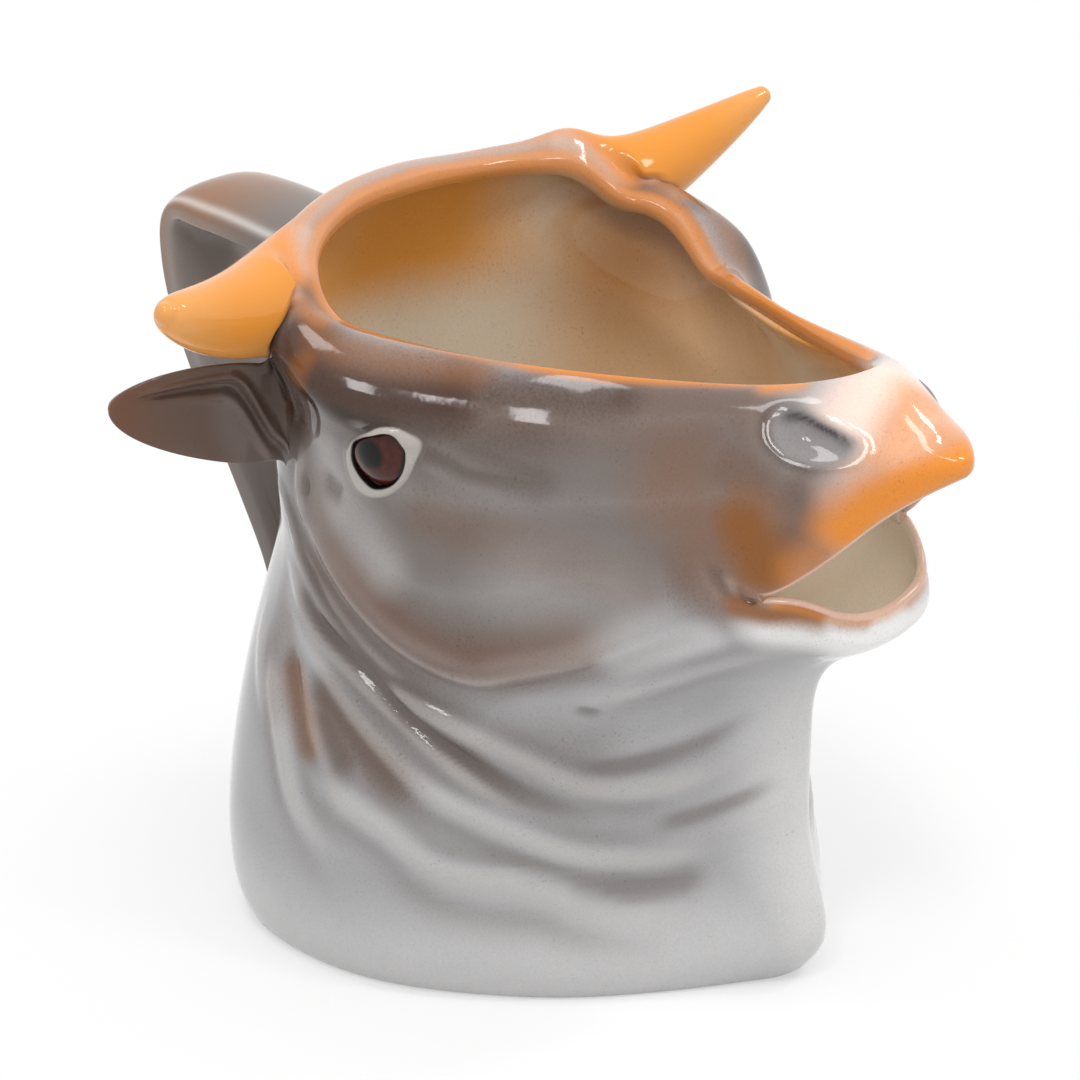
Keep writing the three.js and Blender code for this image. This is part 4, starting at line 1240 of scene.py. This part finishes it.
def sweep_frame(path, across_hint):
    """Middle, tangent, across and thick directions along a path of points, read at shares 0 to 1. Before
    0 the path goes on straight."""
    path = np.asarray(path, float)
    hint = np.asarray(across_hint, float)
    length = np.linalg.norm(np.diff(path, axis=0), axis=-1).sum()

    def at(share):
        inside = np.clip(share, 0, 1) * (len(path) - 1)
        ahead = spline(path, np.clip(inside + 0.02, 0, len(path) - 1))
        behind = spline(path, np.clip(inside - 0.02, 0, len(path) - 1))
        tangent = unit(ahead - behind)
        middle = spline(path, inside) + (np.minimum(share, 0) * length)[:, None] * tangent
        across = unit(hint - (tangent @ hint)[:, None] * tangent)
        return middle, tangent, across, np.cross(tangent, across)

    return at


HORN_TIP_SIZE = 3.0
HORN_FORWARD = 5.8
HORN_RISE = 6.8
HORN_CAP = 0.93  # the share at which a horn's round end starts


def horn_form(lift, sag, taper):
    """A horn on the left side: a round section carried along a quadratic Bezier curve that sags, its
    radius falling from root to tip as (1 - share)^taper, with a round end over the last share."""
    size = sizes()
    span, root_size, tip_size = size["horn_span"], size["horn_root"], HORN_TIP_SIZE
    root = on_hide(HORN_PLACE)
    tip = np.array([(span - tip_size) / 2, root[1] - HORN_FORWARD, root[2] + HORN_RISE + lift])
    along = unit(tip - root)
    buried = root - LINE_BURIED * along
    bow = (buried + tip) / 2 - (0, 0, sag)
    t = np.linspace(0, 1, 25)[:, None]
    frame_at = sweep_frame((1 - t) ** 2 * buried + 2 * t * (1 - t) * bow + t * t * tip, (0, 0, 1))

    def form(share, angle):
        on_path = np.clip(share / HORN_CAP, -1, 1)
        middle, tangent, across, thick = frame_at(on_path)
        radius = tip_size / 2 + (root_size - tip_size) / 2 * (1 - np.clip(on_path, 0, 1)) ** taper
        turn = np.clip((share - HORN_CAP) / (1 - HORN_CAP), 0, 1) * math.pi / 2
        radius = radius * np.cos(turn)
        ahead = tip_size / 2 * np.sin(turn)
        ring = np.cos(angle)[:, None] * across + np.sin(angle)[:, None] * thick
        return middle + radius[:, None] * ring + ahead[:, None] * tangent

    return form


class JUG_OT_horns(bpy.types.Operator):
    """Model both horns, each with a filleted root on the poll"""

    bl_idname = "jug.horns"
    bl_label = "Horns"

    def execute(self, context):
        material = glazed_material("glazed horn", 0.1, own="horn", tint="horn_tip")
        # The left horn stands higher and straighter, and is slimmer in its middle
        shapes = {"left": (1.8, 1.0, 0.85), "right": (-1.8, 3.0, 0.56)}
        for side, build in SIDES:
            points, quads, caps, masks = tipped_piece(
                horn_form(*shapes[side]), angles_round(96), np.linspace(-0.4, 0.6, 90), HORN_PLACE,
                rise=1.1, spread=2.0, fillet_steps=10, rings=64, outline=HORN_FOOT)
            masks["tint"] = np.maximum(0.5 * ease(points[:, 0], 46, 59), 0.35 * ease(points[:, 2], 93, 86))
            build(side + "_horn_glazed", points, quads, caps, masks, material, "glazed_horn",
                  [side + "_horn"])
        return {"FINISHED"}


EAR_BACK = 24  # degrees that an ear points back, and up
EAR_UP = 14
EAR_THICKNESS = 3.4
EAR_CUP = 2.4  # how far the edges of the leaf are bent forward
EAR_WIDEST = 0.4
EAR_DROOP = 2.2


def ear_form(length, width):
    """The left ear: a leaf along a straight line, its section an oval bent forward at both edges, so its
    front is hollow. Its upper edge rolls over as it nears the head."""
    root = on_hide(EAR_PLACE)
    back, up = math.radians(EAR_BACK), math.radians(EAR_UP)
    along = np.array([math.cos(back) * math.cos(up), math.sin(back) * math.cos(up), math.sin(up)])
    line = [root + (length + LINE_BURIED) * f * along - LINE_BURIED * along for f in np.linspace(0, 1, 9)]
    frame_at = sweep_frame(line, (0, 0, 1))

    def form(share, angle):
        middle, _, across, thick = frame_at(share)
        middle = middle - (0, 0, 1.0) * (0.9 + EAR_DROOP * np.clip(share, 0, 1) ** 2)[:, None]
        beyond = np.clip((share - EAR_WIDEST) / (1 - EAR_WIDEST), 0, 1)
        towards = 0.88 + 0.12 * np.sin(np.clip(share / EAR_WIDEST, 0, 1) * math.pi / 2)
        tapering = np.sqrt(np.clip(1 - beyond**2, 0, 1)) * (1 - 0.12 * beyond)
        leaf = np.where(share < EAR_WIDEST, towards, tapering)
        half = EAR_THICKNESS / 2 * (1 + leaf) / 2 * np.clip(leaf / 0.25, 0, 1) ** 0.5
        upper = np.cos(angle)
        a = width / 2 * leaf * upper
        b = half * np.sin(angle) + EAR_CUP * leaf * np.clip(3 * share, 0, 1) * upper**2
        # On the hollow side: the rolled upper edge, and below it a fold that curves down to the root
        fold = 0.42 + 0.12 * np.sin(np.clip(share, 0, 1) * 4.2) - 1.3 * ease(share, 0.5, 0.12)
        folded = ease(np.sin(angle), 0.0, 0.4) * ease(share, 0.93, 0.75) * ease(share, 0.1, 0.22)
        b = b + 0.75 * bell((upper - fold - 0.2) / 0.11) * folded
        b = b - 0.8 * bell((upper - fold) / 0.13) * folded
        b = b + 0.5 * bell((upper - fold + 0.22) / 0.12) * folded * ease(share, 0.8, 0.5)
        return middle + a[:, None] * across + b[:, None] * thick

    return form


class JUG_OT_ears(bpy.types.Operator):
    """Model both ears as cupped leaves that grow out of the head"""

    bl_idname = "jug.ears"
    bl_label = "Ears"

    def execute(self, context):
        size = sizes()
        angles = angles_round(128)
        points, quads, caps, masks = tipped_piece(
            ear_form(size["ear_length"], size["ear_width"]), angles, np.linspace(0, 0.6, 50), EAR_PLACE,
            rise=1.4, spread=1.6 + 1.2 * np.abs(np.sin(angles)), fillet_steps=8, rings=70, along_power=0.8)
        distance = np.linalg.norm(points - on_hide(EAR_PLACE), axis=-1)
        masks["own"] *= 0.55 + 0.45 * ease(distance, 5, 13)
        masks["tint"] = 0.85 * ease(distance, 14, 26)
        material = glazed_material("glazed ear", 0.3, own="ear", tint="ear_tip")
        for side, build in SIDES:
            build(side + "_ear_glazed", points, quads, caps, masks, material, "glazed_ear",
                  [side + "_ear"])
        return {"FINISHED"}


# The handle: how far it reaches behind the hide, its top and bottom, its bend and how steeply it starts
HANDLE_REACH = 25.6
HANDLE_TOP = 92.4
HANDLE_FOOT = 25
HANDLE_BEND = 9
HANDLE_UPRIGHT = 14
HANDLE_CLIMB = 3.0
HANDLE_LOW_PLACE = (8, 2.4)
# How much the strap is wider at its roots and at its top, thicker at its roots and arched at its top
ROOT_WIDER = 1.9
TOP_WIDER = 3.6
ROOT_THICKER = 2.2
TOP_ARCH = 2.0
CHANNEL_DEPTH = 0.5


def handle_path():
    """The middle line of the strap: climbing out of the poll, down round the bend, slanting in to the
    neck."""
    thick = sizes()["handle_thickness"]
    half = thick / 2
    outer_y = DRAWN[:, -1, 1].max() + HANDLE_REACH - half
    top_z = HANDLE_TOP - half
    root_y = on_hide((BACK_COLUMN, HANDLE_TOP_ROW))[1]
    back = read_net(HIDE, BACK_COLUMN, np.linspace(0.5, 8, 400))
    _, foot_y, foot_z = back[nearest(back[:, 2], HANDLE_FOOT)]
    bend, climb, upright = HANDLE_BEND, HANDLE_CLIMB, HANDLE_UPRIGHT
    bend_end = top_z - bend
    inwards = 0.7 * (outer_y - foot_y) / (bend_end - foot_z) * upright
    return np.array([
        (0, root_y - 5, top_z - 1.3 * climb), (0, root_y + thick, top_z - climb),
        (0, outer_y - 1.3 * bend, top_z - 0.2 * climb), (0, outer_y - 0.25 * bend, top_z - 0.2 * bend),
        (0, outer_y, bend_end), (0, outer_y - inwards, bend_end - upright),
        (0, foot_y + inwards, foot_z + upright), (0, foot_y + half, foot_z + thick),
        (0, foot_y - 5, foot_z - half)])


def share_along(frame_at, ring):
    """The share of a path nearest to each point of a ring."""
    shares = np.linspace(0, 1, 1200)
    middle, tangent, _, _ = frame_at(shares)
    off = np.abs(((ring[:, None] - middle[None]) * tangent[None]).sum(-1))
    off += 0.05 * np.linalg.norm(ring[:, None] - middle[None], axis=-1)
    return shares[np.argmin(off, axis=1)]


def fuller(wave):
    """A sine or cosine at a power below 1, which makes a rounded oblong of an ellipse."""
    return np.sign(wave) * np.abs(wave) ** 0.6


class JUG_OT_handle(bpy.types.Operator):
    """Model the strap handle with both of its roots"""

    bl_idname = "jug.handle"
    bl_label = "Handle"

    def execute(self, context):
        size = sizes()
        width, thick = size["handle_width"], size["handle_thickness"]
        frame_at = sweep_frame(handle_path(), (1, 0, 0))

        def form(share, angle):
            middle, _, across, deep = frame_at(share)
            end = ease(1 - np.clip(8 * np.minimum(share, 1 - share), 0, 1))
            top = ease(share, 0.5, 0.25)
            half_width = (width + ROOT_WIDER * end * (1 - top) + TOP_WIDER * top) / 2
            half_thick = (thick + ROOT_THICKER * end) / 2
            a = half_width * fuller(np.cos(angle))
            b = half_thick * fuller(np.sin(angle))
            # A shallow channel along the outside of the strap, which is arched across at its top
            channel = bell(a / (0.55 * half_width)) * ease(-np.sin(angle), 0.5, 0.9) * (1 - top)
            b = b + CHANNEL_DEPTH * channel + TOP_ARCH * top * (a / half_width) ** 2
            return middle + a[:, None] * across + b[:, None] * deep

        def from_below(share, angle):
            return form(1 - share, -angle)

        angles = angles_round(112)
        reach = np.linspace(0, 0.35, 60)
        upper, pole = rooted_stack(form, angles, reach, (BACK_COLUMN, HANDLE_TOP_ROW), 3.2, 4.0, 8, 2)
        lower, low_pole = rooted_stack(from_below, angles, reach, HANDLE_LOW_PLACE, 1.6, 2.2, 8, 2)
        # Between the two roots the strap follows its own form
        start, end = share_along(frame_at, upper[-2]), share_along(frame_at, lower[-2])
        backwards = (-np.arange(len(angles))) % len(angles)
        shares = start + (end[backwards] - start) * np.linspace(0, 1, 120).reshape(-1, 1)
        strap = form(shares.ravel(), np.broadcast_to(angles, shares.shape).ravel())
        strap = strap.reshape(len(shares), -1, 3)
        stack = np.concatenate([upper[:-2], strap, lower[:-2][::-1][:, backwards]])
        points, quads, caps = closed_stack(stack, pole, low_pole)

        masks = sprayed_masks(points)
        ring = np.arange(len(stack))
        share = ease(np.minimum(ring, ring[::-1]) - len(BURIED_SHARES), 1, 8)
        masks["own"] = np.concatenate([np.repeat(share, len(angles)), [0, 0]])
        around = np.concatenate([np.tile(angles, len(stack)), [0, 0]])
        outer = 0.3 + 0.7 * ease(-np.sin(around), -0.4, 0.4)
        back, height = points[:, 1], points[:, 2]
        masks["tint"] = 0.8 * outer * ease(back, 44, 60) * ease(height, 66, 88)
        # Painted highlight along both outer edges of the strap, painted light on its inner side where the
        # head shades it, and painted shade beside the edges
        half_turns = around / math.pi
        masks["crest"] = (2.4 * bell((half_turns - 1.2) / 0.05) + 2.4 * bell((half_turns - 1.8) / 0.05)
                          + 1.2 * (1 - outer) * ease(back, 46, 58) * ease(height, 55, 70))
        masks["crease"] = 0.4 * bell((half_turns - 1.06) / 0.04) + 0.4 * bell((half_turns - 1.94) / 0.04)
        material = glazed_material("glazed handle", 0.3, own="handle", tint="handle_tint")
        make_piece("handle_glazed", points, quads, caps, masks, material, "glazed_handle", ["handle"])
        return {"FINISHED"}


# The pupil: its place forward and up of the eye's, and the radii between which its edge fades
PUPIL_PLACE = (-0.6, 1.2)
PUPIL_RADII = (1.5, 2.4)


def eye_material():
    """Dark enamel: a red-brown iris with fine rays, a black pupil and a black outline."""
    material = bpy.data.materials.new("glazed eye")
    bench = bare_bench(material)
    glaze = glazes()
    gaze = bench.node("ShaderNodeUVMap", {"uv_map": "gaze"}).outputs[0]
    forward, up, _ = bench.node("ShaderNodeSeparateXYZ", Vector=gaze).outputs
    offsets = [bench.maths("SUBTRACT", *pair) for pair in zip((forward, up), PUPIL_PLACE)]
    squares = bench.maths("ADD", *(bench.maths("MULTIPLY", off, off) for off in offsets))
    inner, outer = PUPIL_RADII
    pupil = bench.ranged(bench.maths("SQRT", squares), True, From_Min=inner, From_Max=outer,
                         To_Min=1.0, To_Max=0.0)
    colour = bench.mix(bench.noise(gaze, 1.1, 3.0), glaze["iris_edge"], glaze["iris"])
    colour = bench.mix(pupil, colour, glaze["pupil"])
    colour = bench.mix(bench.mask("soot"), colour, glaze["eye_line"])
    shader = bench.node("ShaderNodeBsdfPrincipled", Base_Color=colour, Roughness=0.05, IOR=1.36)
    bench.node("ShaderNodeOutputMaterial", Surface=shader.outputs[0])
    return material


EYE_ANGLES = np.linspace(-math.pi, math.pi, 144, endpoint=False)
EYE_SINK = 4.6  # how far the middle of the eyeball lies under the hide
EYE_CLOSED = 1.3  # how much nearer the hide its closed back is
LID_BURIED = 1.5  # how much deeper the back of the lids lies in its middle than at its edge


def facing_out(quads, caps):
    """The faces of a stack that runs round the eye, turned where the eye's angles run clockwise seen from
    outside."""
    if np.cross(EYE_PLANE.forward, EYE_PLANE.up) @ EYE_PLANE.outward > 0:
        return quads, caps
    return quads[:, ::-1], caps[:, ::-1]


def eyelids():
    """The lids of the left eye: a profile carried round the eye, closed in the wall and behind the
    eyeball. Gives points, quads, caps and glazes."""
    opening, outer = radius_of(EYE_OPENING, EYE_ANGLES), radius_of(LID_EDGE, EYE_ANGLES)
    border, width = outer + 1.3, outer - opening
    # Radius and height of the profile, from the border inwards
    profile = [(border, -0.12), (border - 0.5, -0.02), (outer + 0.3, 0.06), (outer, 0.16),
               (outer - 0.25 * width, 0.45), (outer - 0.5 * width, 0.66), (outer - 0.75 * width, 0.72),
               (opening + 0.12, 0.62), (opening, 0.45), (opening - 0.08, 0.2), (opening - 0.1, -0.1),
               (opening - 0.15, -0.35)]
    level = np.ones(len(EYE_ANGLES))
    fine = np.linspace(0, len(profile) - 1, 40)
    radius = spline([p[0] for p in profile], fine)
    height = spline([p[1] * level for p in profile], fine)
    under, inner = (0.3, 0.65, 0.92), (0.75, 0.5, 0.25)
    low = profile[-1][1]
    radius = np.concatenate([[border * k for k in under], radius, [radius[-1] * k for k in inner]])
    height = np.concatenate([[(-0.15 - LID_BURIED * (1 - k)) * level for k in under], height,
                             [low * level for _ in inner]])
    flat = EYE_PLANE.point((radius * np.cos(EYE_ANGLES) + OUTLINE_MIDDLE).ravel(),
                           (radius * np.sin(EYE_ANGLES) + OUTLINE_MIDDLE).ravel())
    surface, normals, _ = hide_surface(*place_of(flat, *EYE_PLACE), with_socket=False)
    lids = (surface + height.ravel()[:, None] * normals).reshape(*radius.shape, 3)
    centre = EYE_PLANE.point(*np.full((2, 1), OUTLINE_MIDDLE))
    middle, normal, _ = hide_surface(*place_of(centre, *EYE_PLACE), with_socket=False)
    points, quads, caps = closed_stack(
        lids, middle[0] - (0.15 + LID_BURIED) * normal[0], middle[0] + low * normal[0])

    masks = sprayed_masks(points)
    lid = np.append(ease(height.ravel(), 0.1, 0.4), [0, 0])
    for key in masks:
        masks[key] = masks[key] * (1 - 0.9 * lid)
    lining = np.append(1 - ease((radius - opening).ravel(), 0.05, 0.35), [0, 0])
    masks["soot"] = np.maximum(masks["soot"], lining)
    masks["tint"] = 0.25 * lid
    masks["own"] = lid * (1 - lining)
    return points, *facing_out(quads, caps), masks


def eyeball():
    """The left eyeball, the part of a sphere in front of its closed back: points, quads, caps, glazes and
    how far forward and up each point lies."""
    ball = sizes()["eye_diameter"] / 2
    outward = EYE_PLANE.outward
    lowest = (EYE_SINK - EYE_CLOSED) / ball
    depth = np.linspace(0.999, lowest, 30)
    ring = (np.sqrt(1 - depth**2) * ball)[:, None]
    centre = EYE_PLANE.middle - EYE_SINK * outward
    stack = (centre + (ring * np.cos(EYE_ANGLES))[..., None] * EYE_PLANE.forward
             + (ring * np.sin(EYE_ANGLES))[..., None] * EYE_PLANE.up
             + (depth * ball)[:, None, None] * outward)
    points, quads, caps = closed_stack(stack[::-1], centre + lowest * ball * outward, centre + ball * outward)
    forward, up, _ = EYE_PLANE.flat(points)
    angle, distance = round_middle(forward, up)
    masks = {"soot": ease(distance - radius_of(EYE_OPENING, angle), -0.45, -0.15)}
    return points, *facing_out(quads, caps), masks, np.stack([forward, up], -1)


class JUG_OT_eyes(bpy.types.Operator):
    """Model both eyes: the lids that stand up from the hide and the enamelled eyeballs between them"""

    bl_idname = "jug.eyes"
    bl_label = "Eyes"

    def execute(self, context):
        lids = eyelids()
        *ball, gaze = eyeball()
        lid_material = glazed_material("glazed lid", 0.2, own="lid", tint="milk")
        enamel = eye_material()
        for side, build in SIDES:
            build(side + "_eyelids", *lids, lid_material, "glazed_hide")
            build(side + "_eyeball", *ball, enamel, "glazed_eye", [side + "_eye"], gaze)
        return {"FINISHED"}


FLOOR_RADIUS = 3.0
FLOOR_FADE = (0.045, 0.095)  # metres from the middle of the jug, where the floor fades to pure white
FLOOR_GREY = (0.86, 0.86, 0.86)
WHITE = (1.0, 1.0, 1.0)
# The lamps in metres: direction, width, height and power
LAMP_DISTANCE = 0.9
LAMPS = {
    "shoulder box": (-66, 54, 0.09, 0.22, 1.0),
    "second box": (-48, 57, 0.06, 0.14, 0.5),
    "top box": (-118, 76, 0.18, 0.18, 1.0),
    "front box": (15, 58, 0.1, 0.2, 0.8),
    "far box": (52, 50, 0.1, 0.16, 1.2),
}
LAMP_AIM = (0, 0, 0.05)
# The camera: direction and distance from the jug, height of its aim, and a lens whose focal length is
# FOCAL_PIXELS of a photo PHOTO_PIXELS wide
CAMERA_DIRECTION = (-48, 22)
CAMERA_DISTANCE = 0.55
CAMERA_AIM = 0.0513
FOCAL_PIXELS = 3960
PHOTO_PIXELS = 1080
SENSOR_WIDTH = 36


def direction(azimuth, elevation):
    """The direction at degrees round from straight in front of the nose, towards the animal's left, and
    above level."""
    around, up = math.radians(azimuth), math.radians(elevation)
    return np.array([math.sin(around) * math.cos(up), -math.cos(around) * math.cos(up), math.sin(up)])


def facing_rotation(way):
    """The rotation that points an object's -Z along a way."""
    x, y, z = unit(np.asarray(way, float))
    return (math.acos(max(-1.0, min(1.0, -z))), 0.0, math.atan2(-x, y) if (x or y) else 0.0)


class JUG_OT_stage(bpy.types.Operator):
    """Lay the pale floor, hang the soft lamps and set up the camera"""

    bl_idname = "jug.stage"
    bl_label = "Stage"

    def execute(self, context):
        scene = context.scene
        scene.view_settings.view_transform = "Standard"
        self.floor(scene)
        self.world(scene)
        self.lamps(scene)
        self.camera(scene)
        return {"FINISHED"}

    def floor(self, scene):
        """A flat pale disc under the jug, white for the camera away from the jug."""
        ring = angles_round(64)
        points = FLOOR_RADIUS * np.stack([np.cos(ring), np.sin(ring), np.zeros(len(ring))], -1)
        mesh = bpy.data.meshes.new("floor")
        mesh.from_pydata(points, [], [list(range(len(ring)))])
        mesh.update()
        floor = bpy.data.objects.new("floor", mesh)
        scene.collection.objects.link(floor)
        material = bpy.data.materials.new("pale floor")
        bench = bare_bench(material)
        place = bench.node("ShaderNodeTexCoord").outputs["Object"]
        far = bench.node("ShaderNodeVectorMath", {"operation": "LENGTH"}, Vector=place).outputs["Value"]
        near, away = FLOOR_FADE
        fade = bench.ranged(far, True, From_Min=near, From_Max=away, To_Min=0.5, To_Max=1.0)
        share = bench.maths("MULTIPLY", bench.seen_directly(), fade)
        matt = bench.node("ShaderNodeBsdfDiffuse", Color=FLOOR_GREY)
        white = bench.node("ShaderNodeEmission", Color=WHITE, Strength=1.0)
        bench.finish("ShaderNodeOutputMaterial", share, matt, white)
        mesh.materials.append(material)

    def world(self, scene):
        """White where it is seen, and a plain light that grows towards the top elsewhere."""
        world = bpy.data.worlds.new("studio")
        bench = bare_bench(world)
        way = bench.node("ShaderNodeTexCoord").outputs["Generated"]
        upward = bench.node("ShaderNodeSeparateXYZ", Vector=way).outputs[2]
        glow = bench.ranged(upward, True, From_Min=-0.2, From_Max=1.0, To_Min=0.45, To_Max=1.0)
        light = bench.node("ShaderNodeBackground", Color=WHITE, Strength=glow)
        white = bench.node("ShaderNodeBackground", Color=WHITE, Strength=1.0)
        bench.finish("ShaderNodeOutputWorld", bench.seen_directly(), light, white)
        scene.world = world

    def lamps(self, scene):
        """Soft boxes seen as bright windows in the glaze."""
        for name, (azimuth, elevation, width, height, power) in LAMPS.items():
            lamp = bpy.data.lights.new(name, "AREA")
            lamp.shape = "RECTANGLE"
            lamp.size = width
            lamp.size_y = height
            lamp.energy = power
            holder = bpy.data.objects.new(name, lamp)
            place = LAMP_DISTANCE * direction(azimuth, elevation)
            holder.location = place
            holder.rotation_euler = facing_rotation(LAMP_AIM - place)
            scene.collection.objects.link(holder)

    def camera(self, scene):
        """A long lens at the animal's right front, a little above it."""
        azimuth, elevation = CAMERA_DIRECTION
        lens = bpy.data.cameras.new("camera")
        lens.sensor_width = SENSOR_WIDTH
        lens.lens = SENSOR_WIDTH * FOCAL_PIXELS / PHOTO_PIXELS
        lens.clip_start = 0.01
        lens.clip_end = 20
        holder = bpy.data.objects.new("camera", lens)
        aim = np.array([0, object_shift() / 1000, CAMERA_AIM])
        holder.location = aim + CAMERA_DISTANCE * direction(azimuth, elevation)
        holder.rotation_euler = (math.radians(90 - elevation), 0, math.radians(azimuth))
        scene.collection.objects.link(holder)
        scene.camera = holder


class JUG_PT_panel(bpy.types.Panel):
    """Lists the pieces of the jug and its sizes and glazes"""

    bl_idname = "JUG_PT_panel"
    bl_label = "Bull Head Cream Jug"
    bl_space_type = "VIEW_3D"
    bl_region_type = "UI"
    bl_category = "Cream Jug"

    def draw(self, context):
        layout = self.layout
        for operator in (JUG_OT_body, JUG_OT_horns, JUG_OT_ears, JUG_OT_handle, JUG_OT_eyes, JUG_OT_stage):
            layout.operator(operator.bl_idname)
        for group in (context.scene.jug_sizes, context.scene.jug_glazes):
            box = layout.box()
            for key in group.__annotations__:
                box.prop(group, key)


CLASSES = (JugSizes, JugGlazes, JUG_OT_body, JUG_OT_horns, JUG_OT_ears, JUG_OT_handle, JUG_OT_eyes,
           JUG_OT_stage, JUG_PT_panel)


def register():
    for item in CLASSES:
        bpy.utils.register_class(item)
    bpy.types.Scene.jug_sizes = bpy.props.PointerProperty(type=JugSizes)
    bpy.types.Scene.jug_glazes = bpy.props.PointerProperty(type=JugGlazes)


def unregister():
    del bpy.types.Scene.jug_glazes
    del bpy.types.Scene.jug_sizes
    for item in reversed(CLASSES):
        bpy.utils.unregister_class(item)


def main():
    register()
    bpy.ops.jug.body()
    bpy.ops.jug.horns()
    bpy.ops.jug.ears()
    bpy.ops.jug.handle()
    bpy.ops.jug.eyes()
    bpy.ops.jug.stage()


if __name__ == "__main__":
    main()
